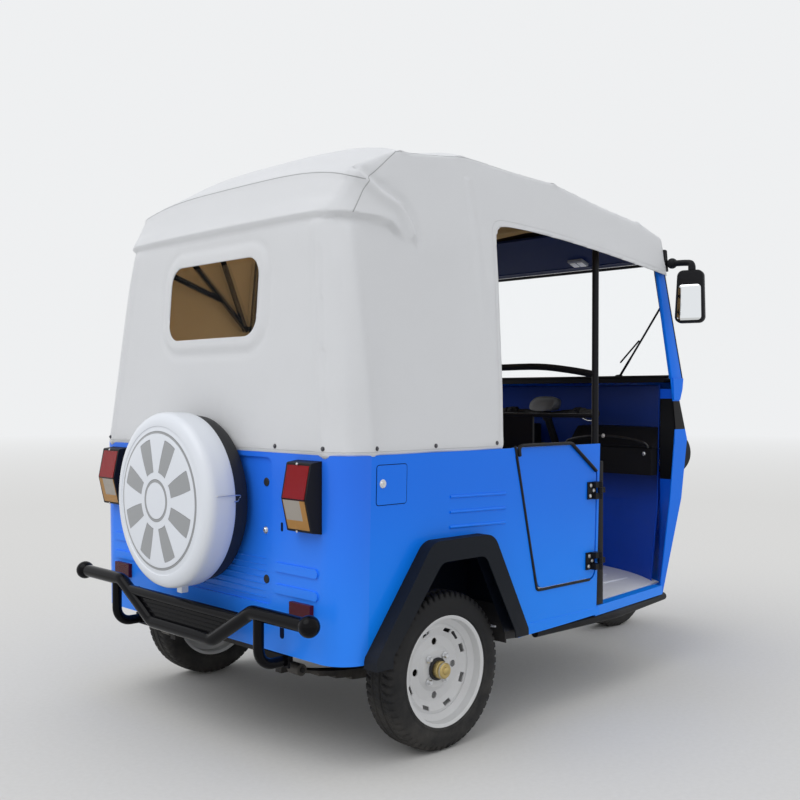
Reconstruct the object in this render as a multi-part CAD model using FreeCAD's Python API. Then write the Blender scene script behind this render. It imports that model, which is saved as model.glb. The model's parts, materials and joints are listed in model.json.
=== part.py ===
import FreeCAD, Part
import math
import os

# Auto rickshaw with a pressed steel tub, half doors and a fabric canopy on steel bows.
# Millimetres. X runs forward, Y to the left, Z up. Sizes are set from the rear axle (X 0) on the
# ground (Z 0), and every piece is moved at the end so that the origin is under the middle of it all.

Vec = FreeCAD.Vector
ALONG_X = Vec(1, 0, 0)
ALONG_Y = Vec(0, 1, 0)
ALONG_Z = Vec(0, 0, 1)
SIDES = (("left", 1), ("right", -1))

# Stance
wheelbase = 1820.0
rear_track = 1232.0
running_gap = 0.05
seat_gap = 0.3

# Wheels
tyre_radius = 240.0
tyre_width = 120.0
tyre_tread_width = 84.0
tyre_shoulder_radius = 231.0
rim_flange_radius = 169.5
rim_width = 110.0
rim_thickness = 4.0
rim_well_radius = 140.0
disc_offset = 8.0
disc_slots = 8
disc_slot_ring = 120.0
hub_holes = 4
hub_hole_ring = 82.0
hub_radius = 34.0
hub_cap_radius = 24.0
hub_cap_length = 30.0
axle_pin_radius = 15.0

# Tub: the blue lower body
body_half_width = 690.0
body_foot_half_width = 674.0
body_rear = -420.0
body_front = 762.0
belt_height = 905.0
body_foot = 318.0
body_corner = 95.0
sheet = 4.0
floor_top = 330.0
floor_thickness = 5.0
floor_half_width = 630.0
deck_height = 620.0
seat_box_half_width = 500.0
seat_box_front = 285.0

# Half door in the tub's side, with its hinge line in front
door_gap = 8.0
door_thickness = 26.0
door_sheet = 3.0
door_fold = 9.0
door_bottom = 436.0
door_front = 742.0
door_top_rear = 309.0
door_bottom_rear = 433.0
door_top_front = 590.0
door_shoulder = 805.0
door_rise = 5.0
hinge_pin_radius = 5.0
hinge_pin_out = 12.0
hinge_heights = (497.0, 743.0)
hinge_leaf_height = 60.0
door_open_angle = 80.0

# Wheel arch and its flare
arch_foot_rear = -275.0
arch_top_rear = -75.0
arch_top_front = 120.0
arch_foot_front = 262.0
arch_top = 585.0
flare_width = 62.0
flare_reach = 42.0
flare_sheet = 4.0

# Canopy
eave_half_width = 600.0
seam_half_width = 548.0
canopy_corner = 110.0
canopy_thickness = 6.0
roof_crown = 34.0
opening_rear = 262.0
opening_front = 1262.0
opening_corner = 90.0
rear_window_width = 500.0
rear_window_height = 245.0
rear_window_middle = 1367.0
rear_window_corner = 60.0
bow_radius = 11.0
bow_bend = 45.0
hoop_foot_y = 672.0
main_hoop_x = 200.0

# Cab front
pillar_half_width = 612.0
pillar_head_half_width = 576.0
pillar_depth = 40.0
cowl_top = 1140.0
screen_foot = 1145.0
screen_head = 1600.0
screen_foot_x = 1392.0
screen_head_x = 1316.0
screen_thickness = 5.0
cowl_foot_half_width = 606.0
cowl_foot_rear = 1284.0
nose_foot = 665.0
wheel_bay_half_width = 330.0

# Steering: a raked stem, its handlebar and a two-legged fork with a leading axle
rake = 27.0
handlebar_x = 1340.0
handlebar_height = 990.0
handlebar_half_width = 292.0
handlebar_sweep = 40.0
stem_radius = 16.0
head_radius = 27.0
head_top = 200.0
head_bottom = 400.0
crown_place = 462.0
fork_leg_spread = 88.0
fork_leg_radius = 19.0
mudguard_radius = 272.0
mudguard_half_width = 72.0
mudguard_front_angle = 15.0
mudguard_rear_angle = 138.0
steering_lock = 35.0

# Spare wheel on the tail
spare_height = belt_height - 157
spare_middle_x = -489.0
cover_radius = 273.0
cover_edge_x = -486.0
cover_face_x = -598.0
cover_thickness = 3.0
cover_tab = 28.0

# Tail
tail_pan_half_width = 359.0
tail_pan_low = 452.0
tail_pan_high = belt_height - 15
tail_pan_corner = 26.0
tail_pan_depth = 8.0
tail_rib_inner = 374.0
tail_rib_outer = 574.0
tail_rib_height = 26.0
tail_rib_reach = 5.0
tail_rib_heights = (506.0, 570.0)
bumper_radius = 21.0
bumper_ball_radius = 31.0
bumper_x = -505.0
bumper_height = 447.0
bumper_half_width = 638.0
bumper_dip = 112.0
bumper_bend = 50.0
dip_top = 375.0
dip_foot = 175.0
bridge_height = 420.0
bridge_radius = 16.0
step_plate = 4.0
bracket_height = 296.0
bracket_place = 408.0
bracket_radius = 16.0
lamp_outer = 590.0
lamp_inner = 479.0
lamp_head = belt_height - 16
lamp_foot = lamp_head - 205
lamp_depth = 58.0


# Shape helpers

def box(x0, x1, y0, y1, z0, z1):
    return Part.makeBox(x1 - x0, y1 - y0, z1 - z0, Vec(x0, y0, z0))


def rod(start, end, radius):
    way = end.sub(start)
    return Part.makeCylinder(radius, way.Length, start, way)


def fuse(shapes):
    body = shapes[0].multiFuse(shapes[1:]) if len(shapes) > 1 else shapes[0]
    return body.removeSplitter()


def mirror_y(shape):
    return shape.mirror(Vec(0, 0, 0), ALONG_Y)


def both_sides(shape):
    return Part.makeCompound([shape, mirror_y(shape)])


def polygon(points):
    return Part.makePolygon(list(points) + [points[0]])


def rounded(points, radius):
    # Closed outline through the points, each corner turned into an arc of the given radius.
    radii = radius if isinstance(radius, (list, tuple)) else [radius] * len(points)
    edges = []
    ends = []
    for i, corner in enumerate(points):
        before = points[i - 1].sub(corner)
        after = points[(i + 1) % len(points)].sub(corner)
        before.normalize()
        after.normalize()
        half = before.getAngle(after) / 2
        back = radii[i] / math.tan(half)
        if radii[i] < 0.01:
            ends.append((corner, corner, None))
            continue
        into = corner.add(before.multiply(back))
        out = corner.add(after.multiply(back))
        middle_way = into.add(out).multiply(0.5).sub(corner)
        reach = radii[i] / math.sin(half) - radii[i]
        middle_way.normalize()
        ends.append((into, out, corner.add(middle_way.multiply(reach))))
    for i, (into, out, middle) in enumerate(ends):
        if middle is not None:
            edges.append(Part.Arc(into, middle, out).toShape())
        following = ends[(i + 1) % len(ends)][0]
        if out.distanceToPoint(following) > 0.001:
            edges.append(Part.LineSegment(out, following).toShape())
    return Part.Wire(edges)


def slab(wire, way):
    return Part.Face(wire).extrude(way)


def side_slab(points, y0, y1, radius=0.0):
    # A plate drawn in the side view as (x, z), from y0 to y1.
    corners = [Vec(x, y0, z) for x, z in points]
    wire = rounded(corners, radius)
    return slab(wire, Vec(0, y1 - y0, 0))


def pipe(points, radius, bend):
    # A round bar along the points, with a bend of one radius at each inner point.
    edges = []
    start = points[0]
    for i in range(1, len(points) - 1):
        before = points[i - 1].sub(points[i])
        after = points[i + 1].sub(points[i])
        before.normalize()
        after.normalize()
        half = before.getAngle(after) / 2
        back = bend / math.tan(half)
        into = points[i].add(Vec(before).multiply(back))
        out = points[i].add(Vec(after).multiply(back))
        bisector = before.add(after)
        bisector.normalize()
        middle = points[i].add(bisector.multiply(bend / math.sin(half) - bend))
        edges.append(Part.LineSegment(start, into).toShape())
        edges.append(Part.Arc(into, middle, out).toShape())
        start = out
    edges.append(Part.LineSegment(start, points[-1]).toShape())
    path = Part.Wire(edges)
    first = points[1].sub(points[0])
    ring = Part.Wire(Part.makeCircle(radius, points[0], first))
    return path.makePipeShell([ring], True, True)


def revolve(profile, axis_point, axis):
    return Part.Face(profile).revolve(axis_point, axis, 360)


# Wheels: made at the origin round the Y axis, with the outer face towards +Y

def tyre():
    half = tyre_width / 2
    bead = rim_width / 2 - rim_thickness
    tread = tyre_tread_width / 2
    bead_radius = rim_flange_radius - 8
    swell = (tyre_radius + bead_radius) / 2 - 4

    def at(radius, y):
        return Vec(radius, y, 0)

    edges = [
        Part.LineSegment(at(bead_radius, -bead), at(bead_radius, bead)),
        Part.Arc(at(bead_radius, bead), at(swell, half), at(tyre_shoulder_radius, half - 7)),
        Part.LineSegment(at(tyre_shoulder_radius, half - 7), at(tyre_radius - 2, tread)),
        Part.Arc(at(tyre_radius - 2, tread), at(tyre_radius, 0), at(tyre_radius - 2, -tread)),
        Part.LineSegment(at(tyre_radius - 2, -tread), at(tyre_shoulder_radius, 7 - half)),
        Part.Arc(at(tyre_shoulder_radius, 7 - half), at(swell, -half), at(bead_radius, -bead)),
    ]
    profile = Part.Wire([edge.toShape() for edge in edges])
    return revolve(profile, Vec(0, 0, 0), ALONG_Y)


def rim(hub_inner, hub_outer, bore_end=None, dish=disc_offset):
    # The rim's trough, its dished disc with slots and holes, and the hub barrel with its bore.
    half = rim_width / 2
    bead_radius = rim_flange_radius - 8
    trough = [
        (rim_flange_radius, half),
        (bead_radius - seat_gap, half - rim_thickness),
        (bead_radius - rim_thickness, half * 0.5),
        (rim_well_radius, half * 0.3),
        (rim_well_radius, -half * 0.3),
        (bead_radius - rim_thickness, -half * 0.5),
        (bead_radius - seat_gap, rim_thickness - half),
        (rim_flange_radius, -half),
    ]
    outer = [Vec(radius, y, 0) for radius, y in trough]
    inner = [Vec(radius - rim_thickness, y, 0) for radius, y in reversed(trough)]
    band = revolve(polygon(outer + inner), Vec(0, 0, 0), ALONG_Y)
    face = dish + rim_thickness
    disc_points = [
        (0, face), (56, face), (70, face - 9), (100, face - 9), (126, face + 4), (138, face + 2),
        (138, face - 2), (128, face), (101, face - 13), (69, face - 13), (56, dish), (0, dish),
    ]
    disc = revolve(polygon([Vec(r, y, 0) for r, y in disc_points]), Vec(0, 0, 0), ALONG_Y)
    slots = []
    for i in range(disc_slots):
        slot = box(disc_slot_ring - 6, disc_slot_ring + 6, -half, half, -15, 15)
        slots.append(slot.rotate(Vec(0, 0, 0), ALONG_Y, (i + 0.5) * 360 / disc_slots))
    for i in range(hub_holes):
        hole = Part.makeCylinder(11, rim_width, Vec(hub_hole_ring, -half, 0), ALONG_Y)
        slots.append(hole.rotate(Vec(0, 0, 0), ALONG_Y, i * 360 / hub_holes))
    disc = disc.cut(Part.makeCompound(slots))
    barrel = Part.makeCylinder(hub_radius, hub_outer - hub_inner, Vec(0, hub_inner, 0), ALONG_Y)
    pieces = [band, disc, barrel]
    if bore_end is not None:
        pieces.append(Part.makeCylinder(hub_cap_radius, hub_cap_length, Vec(0, hub_outer, 0), ALONG_Y))
    wheel = fuse(pieces)
    reach = (hub_outer if bore_end is None else bore_end) - hub_inner
    bore = Part.makeCylinder(axle_pin_radius + running_gap, reach, Vec(0, hub_inner, 0), ALONG_Y)
    return wheel.cut(bore)


hub_inner_face = -42.0
hub_outer_face = disc_offset + rim_thickness + 6
pin_end = hub_outer_face + 6


def rear_wheel(side):
    middle = Vec(0, side * rear_track / 2, tyre_radius)
    shapes = [tyre(), rim(hub_inner_face, hub_outer_face, pin_end + 2)]
    if side < 0:
        shapes = [mirror_y(shape) for shape in shapes]
    for shape in shapes:
        shape.translate(middle)
    return shapes


front_hub_half = 56.0


def front_wheel():
    middle = Vec(wheelbase, 0, tyre_radius)
    shapes = [tyre(), rim(-front_hub_half, front_hub_half)]
    for shape in shapes:
        shape.translate(middle)
    return shapes


# Frame: two long rails with cross members, and the steering head on a raked neck

rail_half_spread = 300.0
rail_width = 50.0
rail_height = 45.0
rail_top = floor_top - floor_thickness
rail_rear = body_rear + sheet + 6
rail_front = 1530.0
neck_spread = 290.0
cross_member_places = (-390.0, 345.0, 760.0, 1180.0)


def axis_point(along, forward=0.0, across=0.0):
    # A point by its distance down the steering axis, ahead of it and to its left.
    lean = math.radians(rake)
    x = handlebar_x + along * math.sin(lean) + forward * math.cos(lean)
    z = handlebar_height - along * math.cos(lean) + forward * math.sin(lean)
    return Vec(x, across, z)


steering_way = axis_point(0).sub(axis_point(1))


def chassis_frame():
    low = rail_top - rail_height
    pieces = []
    for name, side in SIDES:
        y0 = side * rail_half_spread - rail_width / 2
        pieces.append(box(rail_rear, rail_front, y0, y0 + rail_width, low, rail_top))
        foot = Vec(rail_front - 18, side * neck_spread, low + rail_height / 2)
        bend = Vec(rail_front, side * neck_spread, 520)
        head = axis_point(head_bottom - 32, 0, side * 10)
        pieces.append(rod(foot, bend, 17))
        pieces.append(Part.makeSphere(17, bend))
        pieces.append(rod(bend, head, 17))
        for end in (-1, 1):
            pin = Vec(end * spring_half_length, side * (rail_half_spread - 10), spring_eye_height)
            out = Vec(end * spring_half_length, side * (spring_place + leaf_width / 2 + 6), spring_eye_height)
            pieces.append(rod(pin, out, spring_pin_radius))
            y0 = side * rail_half_spread - 15
            x0 = end * spring_half_length - 22
            pieces.append(box(x0, x0 + 44, y0, y0 + 30, spring_eye_height - 20, low + 4))
    for place in cross_member_places:
        pieces.append(box(place, place + 40, -rail_half_spread, rail_half_spread, low + 12, rail_top - 8))
    pieces.append(rod(axis_point(head_top), axis_point(head_bottom), head_radius))
    frame = fuse(pieces)
    bore = rod(axis_point(head_top - 5), axis_point(head_bottom + 5), stem_radius + running_gap)
    return frame.cut(bore)


# Rear axle: tube, gear housing and motor, brake drums and the pins that carry the wheels

axle_tube_radius = 30.0
drum_radius = 92.0
drum_width = 46.0
drum_face = rear_track / 2 + hub_inner_face - 8
motor_radius = 85.0
motor_length = 250.0
gear_housing_radius = 80.0


def rear_axle():
    centre = Vec(0, 0, tyre_radius)
    pieces = [rod(Vec(0, 5 - drum_face, tyre_radius), Vec(0, drum_face - 5, tyre_radius), axle_tube_radius)]
    pieces.append(Part.makeCylinder(gear_housing_radius, 130, Vec(0, -65, tyre_radius), ALONG_Y))
    pieces.append(rod(centre, Vec(motor_length + 60, 0, tyre_radius), motor_radius))
    for name, side in SIDES:
        face = Vec(0, side * drum_face, tyre_radius)
        inner = Vec(0, side * (drum_face - drum_width), tyre_radius)
        pieces.append(rod(inner, face, drum_radius))
        end = Vec(0, side * (rear_track / 2 + pin_end), tyre_radius)
        pieces.append(rod(inner, end, axle_pin_radius))
    return fuse(pieces)


# Leaf springs: stacked arcs clamped over the axle tube and hung from eyes under the rails

spring_place = 362.0
spring_pin_radius = 8.0
spring_half_length = 330.0
leaf_thickness = 8.0
leaf_width = 50.0
leaf_count = 4
spring_sag = 40.0
spring_top = tyre_radius - axle_tube_radius - seat_gap
spring_eye_height = spring_top + spring_sag


def leaf(order):
    # One leaf as an arc band in the side view; each lower one is shorter.
    half = spring_half_length * (1 - 0.2 * order)
    top = spring_top - order * leaf_thickness
    arc_radius = (spring_half_length ** 2 + spring_sag ** 2) / (2 * spring_sag)
    rise = arc_radius - math.sqrt(arc_radius ** 2 - half ** 2)
    inner = arc_radius + leaf_thickness
    y = -leaf_width / 2
    low = top - leaf_thickness
    rise_low = inner - math.sqrt(inner ** 2 - half ** 2)
    edges = [
        Part.Arc(Vec(-half, y, top + rise), Vec(0, y, top), Vec(half, y, top + rise)),
        Part.LineSegment(Vec(half, y, top + rise), Vec(half, y, low + rise_low)),
        Part.Arc(Vec(half, y, low + rise_low), Vec(0, y, low), Vec(-half, y, low + rise_low)),
        Part.LineSegment(Vec(-half, y, low + rise_low), Vec(-half, y, top + rise)),
    ]
    wire = Part.Wire([edge.toShape() for edge in edges])
    return slab(wire, Vec(0, leaf_width, 0))


def leaf_springs():
    pieces = [leaf(order) for order in range(leaf_count)]
    holes = []
    for end in (-1, 1):
        start = Vec(end * spring_half_length, -leaf_width / 2, spring_eye_height)
        stop = Vec(end * spring_half_length, leaf_width / 2, spring_eye_height)
        pieces.append(rod(start, stop, 18))
        holes.append(rod(start, stop, spring_pin_radius + running_gap))
    foot = spring_top - leaf_count * leaf_thickness
    pieces.append(box(-45, 45, -leaf_width / 2 - 6, leaf_width / 2 + 6, foot - 8, foot + 1))
    spring = fuse(pieces).cut(Part.makeCompound(holes))
    spring.translate(Vec(0, spring_place, 0))
    return both_sides(spring)


# Tub: one lofted shell, split at the rear corners into a tail panel and two sides

def tub_outline(half_width, rear, front, z, corner):
    points = [Vec(front, half_width, z), Vec(rear, half_width, z),
              Vec(rear, -half_width, z), Vec(front, -half_width, z)]
    return rounded(points, [0, corner, corner, 0])


def tub_solid(inset):
    wires = []
    for half_width, z in ((body_foot_half_width, body_foot), (body_half_width, belt_height)):
        wires.append(tub_outline(half_width - inset, body_rear + inset, body_front, z,
                                 body_corner - inset))
    return Part.makeLoft(wires, True, True)


def grown(points, gap):
    # The same clockwise outline with every side moved out by the gap.
    normals = []
    for i, (x0, z0) in enumerate(points):
        x1, z1 = points[(i + 1) % len(points)]
        length = math.hypot(x1 - x0, z1 - z0)
        normals.append(((z0 - z1) / length, (x1 - x0) / length))
    corners = []
    for i, (x, z) in enumerate(points):
        before = normals[i - 1]
        after = normals[i]
        turn = 1 + before[0] * after[0] + before[1] * after[1]
        corners.append((x + gap * (before[0] + after[0]) / turn, z + gap * (before[1] + after[1]) / turn))
    return corners


door_corner_radii = (10.0, 20.0, 20.0, 25.0, 30.0, 0.0)


def door_slab(gap, y0, y1):
    # The half door's outline in the side view, grown all round by a gap, as a solid from y0 to y1.
    points = [
        (door_top_rear, belt_height + door_rise),
        (door_top_front, belt_height + door_rise),
        (door_front, door_shoulder),
        (door_front, door_bottom),
        (door_bottom_rear, door_bottom),
        (door_top_rear, belt_height - 30),
    ]
    radii = [max(radius + gap, 0) for radius in door_corner_radii[:-1]] + [0]
    return side_slab(grown(points, gap), y0, y1, radii)


def arch_outline(grow):
    foot = body_foot - 60
    return [
        (arch_foot_rear - grow, foot),
        (arch_foot_rear - grow, body_foot + 20),
        (arch_top_rear - grow * 0.6, arch_top + grow),
        (arch_top_front + grow * 0.6, arch_top + grow),
        (arch_foot_front + grow, body_foot + 10),
        (arch_foot_front + grow, foot),
    ]


tail_split = body_rear + body_corner + 2


def tub_shell():
    return tub_solid(0).cut(tub_solid(sheet))


def tail_slab(half_width, low, high, radius, x0, x1, middle=0.0):
    # A plate with round corners that lies in the tail's plane, from x0 to x1.
    corners = [Vec(x0, middle - half_width, low), Vec(x0, middle + half_width, low),
               Vec(x0, middle + half_width, high), Vec(x0, middle - half_width, high)]
    return slab(rounded(corners, radius), Vec(x1 - x0, 0, 0))


def tail_pan(grow, x0, x1):
    return tail_slab(tail_pan_half_width + grow, tail_pan_low - grow, tail_pan_high + grow,
                     tail_pan_corner + grow, x0, x1)


def rear_panel():
    # The tail has a sunk middle panel for the spare wheel, and two pressed ribs on each side of it.
    shell = tub_shell()
    tail = shell.common(box(body_rear - 10, tail_split, -900, 900, 0, 2000))
    rib_half = (tail_rib_outer - tail_rib_inner) / 2
    ribs = []
    for z in tail_rib_heights:
        for name, side in SIDES:
            ribs.append(tail_slab(rib_half, z - tail_rib_height / 2, z + tail_rib_height / 2,
                                  tail_rib_height / 2 - 0.5, body_rear - tail_rib_reach,
                                  body_rear + sheet / 2, side * (tail_rib_inner + rib_half)))
    tail = fuse([tail] + ribs)
    tail = tail.cut(tail_pan(0, body_rear - 10, body_rear + sheet + 10))
    pan = tail_pan(sheet, body_rear + 1, body_rear + tail_pan_depth + sheet)
    pan = pan.cut(tail_pan(0, body_rear - 10, body_rear + tail_pan_depth))
    return fuse([tail, pan])


def body_side(side):
    shell = tub_shell()
    half = shell.common(box(tail_split, body_front, -900, 0, 0, 2000))
    half = half.cut(door_slab(door_gap, -900, 0))
    half = half.cut(side_slab(arch_outline(0), -900, 0))
    edge_y = -body_foot_half_width
    pillar = box(door_front + door_gap, body_front, edge_y + sheet - 1, edge_y + 34, body_foot,
                 door_shoulder)
    sill_points = [
        Vec(body_front - 4, edge_y + 1, 0), Vec(cowl_foot_rear - seat_gap, -cowl_foot_half_width - 8, 0),
        Vec(cowl_foot_rear - seat_gap, 32 - cowl_foot_half_width, 0), Vec(body_front - 4, edge_y + 40, 0),
    ]
    sill = slab(polygon([Vec(p.x, p.y, body_foot - 22) for p in sill_points]), Vec(0, 0, 34))
    ribs = []
    for z in (676.0, 722.0, 768.0):
        y_at = body_foot_half_width + (z - body_foot) / (belt_height - body_foot) * (
            body_half_width - body_foot_half_width)
        ribs.append(rod(Vec(0, 1 - y_at, z), Vec(255, 1 - y_at, z - 6), 5))
    panel = fuse([half, pillar, sill] + ribs)
    return panel if side < 0 else mirror_y(panel)


def wheel_arch_flares():
    # A moulded lip round each rear arch: a face that stands off the side, and a wall back to it.
    face_y = -body_foot_half_width - flare_reach - 10
    flare = side_slab(arch_outline(flare_width), face_y, 2 - body_foot_half_width, [0, 30, 60, 60, 30, 0])
    wall = flare_sheet
    flare = flare.cut(side_slab(arch_outline(flare_width - wall), face_y + wall, 0,
                                [0, 30 - wall, 60 - wall, 60 - wall, 30 - wall, 0]))
    flare = flare.cut(side_slab(arch_outline(-2), -900, 0, [0, 20, 40, 40, 20, 0]))
    flare = flare.cut(tub_solid(-seat_gap))
    flare = flare.cut(box(-900, 900, -900, 0, 0, body_foot - 10))
    return both_sides(flare)


# Floor, seat box and the heavy battery under the bench

def floor_panel():
    z = floor_top - floor_thickness
    half = floor_half_width
    front_half = cowl_foot_half_width - 50
    rear = seat_box_front - 20
    edges = [
        Part.LineSegment(Vec(rear, -half, z), Vec(body_front, -half, z)),
        Part.LineSegment(Vec(body_front, -half, z), Vec(1350, -front_half, z)),
        Part.Arc(Vec(1350, -front_half, z), Vec(1540, 0, z), Vec(1350, front_half, z)),
        Part.LineSegment(Vec(1350, front_half, z), Vec(body_front, half, z)),
        Part.LineSegment(Vec(body_front, half, z), Vec(rear, half, z)),
        Part.LineSegment(Vec(rear, half, z), Vec(rear, -half, z)),
    ]
    wire = Part.Wire([edge.toShape() for edge in edges])
    return slab(wire, Vec(0, 0, floor_thickness))


def seat_box():
    rear = body_rear + tail_pan_depth + sheet + 2
    half = seat_box_half_width
    wide = body_foot_half_width - sheet - 14
    deck = box(rear, seat_box_front, -wide, wide, deck_height - sheet, deck_height)
    front = box(seat_box_front - sheet, seat_box_front, -wide, wide, floor_top + seat_gap, deck_height)
    walls = [deck, front]
    for name, side in SIDES:
        y0, y1 = sorted((side * half, side * (half - sheet)))
        walls.append(box(rear, seat_box_front, y0, y1, floor_top + seat_gap, deck_height))
    return fuse(walls).common(tub_solid(sheet + 2))


def battery_block():
    return box(-300, 240, -420, 420, rail_top + seat_gap, 555)


# Canopy: lofted fabric shell over the bows. Rows of the side profile are (x, z) at the crest.

roof_profile = (
    (-421.0, 905.0),
    (-372.0, 1600.0),
    (-300.0, 1760.0),
    (-100.0, 1846.0),
    (230.0, 1884.0),
    (680.0, 1858.0),
    (1230.0, 1772.0),
    (1365.0, 1728.0),
    (1345.0, 1560.0),
    (1345.0, 905.0),
)


def canopy_plan(half_width, rear, front, z, corner):
    return tub_outline(half_width, rear, front, z, corner)


def canopy_solid(inset, foot):
    # Walls that lean in, cut to the roof line and to a shoulder that falls away past the seam.
    front = 1500.0
    seam_z = 1836.0
    eave_z = 1560.0
    belt_out = body_half_width + 3
    lean = (eave_half_width - belt_out) / (eave_z - belt_height)
    foot_half = belt_out + lean * (foot - belt_height)
    rear_lean = 50.0 / (1600.0 - belt_height)
    rows = (
        (foot, foot_half, body_rear - 3 + rear_lean * (foot - belt_height), body_corner + 3),
        (eave_z, eave_half_width, body_rear - 3 + rear_lean * (eave_z - belt_height), canopy_corner),
        (seam_z, seam_half_width, body_rear - 3 + rear_lean * (seam_z - belt_height), canopy_corner),
    )
    wires = [tub_outline(half - inset, rear + inset, front, z, corner - inset)
             for z, half, rear, corner in rows]
    top = rows[-1]
    wires.append(tub_outline(top[1] - inset - 25, top[2] + inset, front, 1990, top[3] - inset))
    walls = Part.makeLoft(wires, True, True)
    stations = ((-760.0, 260.0), (-seam_half_width, roof_crown), (0.0, 0.0),
                (seam_half_width, roof_crown), (760.0, 260.0))
    sides = []
    for y, drop in stations:
        points = []
        for i, (x, z) in enumerate(roof_profile):
            low = i in (0, len(roof_profile) - 1)
            shift = inset if i < 3 else 0
            points.append(Vec(x + shift - (50 if low and i == 0 else 0),
                              y, foot if low else z - drop - (inset if i not in (0, 9) else 0)))
        sides.append(polygon(points))
    roof = Part.makeLoft(sides, True, True)
    return walls.common(roof)


def side_opening(half_depth=900):
    foot = belt_height - 60
    points = [(opening_rear, foot), (opening_rear + 14, 1622), (620, 1622), (opening_front, 1556),
              (1420, 905), (1420, foot)]
    return side_slab(points, -half_depth, half_depth, [0, opening_corner, 0, 40, 0, 0])


def rear_window_cut(grow):
    half = rear_window_width / 2 + grow
    low = rear_window_middle - rear_window_height / 2 - grow
    high = rear_window_middle + rear_window_height / 2 + grow
    corners = [Vec(-700, -half, low), Vec(-700, half, low), Vec(-700, half, high), Vec(-700, -half, high)]
    return slab(rounded(corners, rear_window_corner + grow), Vec(550, 0, 0))


roof_split = 1640.0


def canopy_shell():
    outer = canopy_solid(0, belt_height - 6)
    inner = canopy_solid(canopy_thickness, belt_height - 30)
    shell = outer.cut(inner)
    shell = shell.cut(side_opening())
    shell = shell.cut(rear_window_cut(0))
    return shell.cut(tub_solid(-seat_gap))


def canopy_body(shell):
    return shell.common(box(-900, 1600, -900, 900, 500, roof_split))


def canopy_roof(shell):
    return shell.common(box(-900, 1600, -900, 900, roof_split, 2200))


def rear_window():
    outer = canopy_solid(1.0, belt_height - 6)
    inner = canopy_solid(4.0, belt_height - 30)
    pane = outer.cut(inner)
    return pane.common(rear_window_cut(0))


def crest_height(x):
    # Height and slope of the canopy's crest line at a place along the roof.
    for (x0, z0), (x1, z1) in zip(roof_profile, roof_profile[1:]):
        if x0 <= x <= x1:
            slope = (z1 - z0) / (x1 - x0)
            return z0 + slope * (x - x0), slope


def under_roof(x, y, radius):
    # Centre height of a bar that lies against the canopy's inner face.
    z, slope = crest_height(x)
    cover = canopy_thickness * (1 + max(slope, 0)) + (radius + 0.5) * math.sqrt(1 + slope ** 2)
    return z - cover - roof_crown * abs(y) / seam_half_width


def canopy_frame():
    pivot = (168.0, 604.0, 1340.0)
    eave = (-353.0, 480.0, 1578.0)
    strut_foot = (40.0, 590.0, 1449.0)
    rail_radius = bow_radius - 1.5
    pieces = []
    # Bows by the place of their leg foot, the place of the bar and its half width.
    bows = (
        ((main_hoop_x, hoop_foot_y, belt_height - 60), main_hoop_x, 530),
        (pivot, -286.0, 504),
        (pivot, -76.0, 524),
    )
    for foot, x, half in bows:
        path = [Vec(foot[0], -foot[1], foot[2]), Vec(x, -half, under_roof(x, half, bow_radius)),
                Vec(x, 0, under_roof(x, 0, bow_radius)), Vec(x, half, under_roof(x, half, bow_radius)),
                Vec(*foot)]
        pieces.append(pipe(path, bow_radius, bow_bend))
    eave_end = eave[2] - roof_crown * eave[1] / seam_half_width
    path = [Vec(strut_foot[0], -strut_foot[1], strut_foot[2]), Vec(eave[0], -eave[1], eave_end),
            Vec(eave[0], 0, eave[2]), Vec(eave[0], eave[1], eave_end), Vec(*strut_foot)]
    pieces.append(pipe(path, bow_radius, bow_bend))
    rail_places = (main_hoop_x, 680.0, 1200.0)
    for x in rail_places[1:]:
        half = rail_half(x) - 6
        path = [Vec(x, -half, under_roof(x, half, bow_radius)), Vec(x, 0, under_roof(x, 0, bow_radius)),
                Vec(x, half, under_roof(x, half, bow_radius))]
        pieces.append(pipe(path, bow_radius, bow_bend))
    for name, side in SIDES:
        line = [Vec(x, side * (rail_half(x) - 22), under_roof(x, rail_half(x) - 22, bow_radius)) for x in rail_places]
        for start, end in zip(line, line[1:]):
            pieces.append(rod(start, end, rail_radius))
        post = Vec(pivot[0], side * pivot[1], pivot[2])
        pieces.append(rod(post, Vec(main_hoop_x, side * 604, pivot[2]), rail_radius))
        pieces.append(Part.makeSphere(bow_radius + 4, post))
    return fuse(pieces)


def rail_half(x):
    # The roof rails draw in a little towards the header.
    return 526 - (x - main_hoop_x) * 0.012


# Partition: door posts, roof tubes and the rails behind the driver

post_x = 800.0
post_y = 640.0
roof_tube_radius = 12.0


def partition_frame():
    pieces = []
    for name, side in SIDES:
        y0, y1 = sorted((side * (post_y - 22), side * (post_y + 22)))
        pieces.append(box(post_x - 22, post_x + 22, y0, y1, floor_top + seat_gap, 840))
        foot = Vec(post_x, side * post_y, 800)
        top_x = post_x + 40
        top_y = rail_half(top_x) - 22
        top = Vec(top_x, side * top_y, under_roof(top_x, top_y, bow_radius) - bow_radius - 1)
        pieces.append(rod(foot, top, roof_tube_radius))
    for z, radius in ((1160.0, 13.0), (1030.0, 8.0), (780.0, 13.0)):
        inset = (z - 800) / 970 * 142 if z > 800 else 0
        shift = (z - 800) / 970 * 40 if z > 800 else 0
        half = post_y - inset
        pieces.append(rod(Vec(post_x + shift, -half, z), Vec(post_x + shift, half, z), radius))
    pieces.append(box(post_x - 4, post_x + 6, -360, 360, 770, 1032))
    return fuse(pieces)


def driver_seat_base():
    outer = box(850, 1130, -210, 210, floor_top + seat_gap, 600)
    return outer.cut(box(858, 1122, -202, 202, floor_top, 592))


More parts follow.
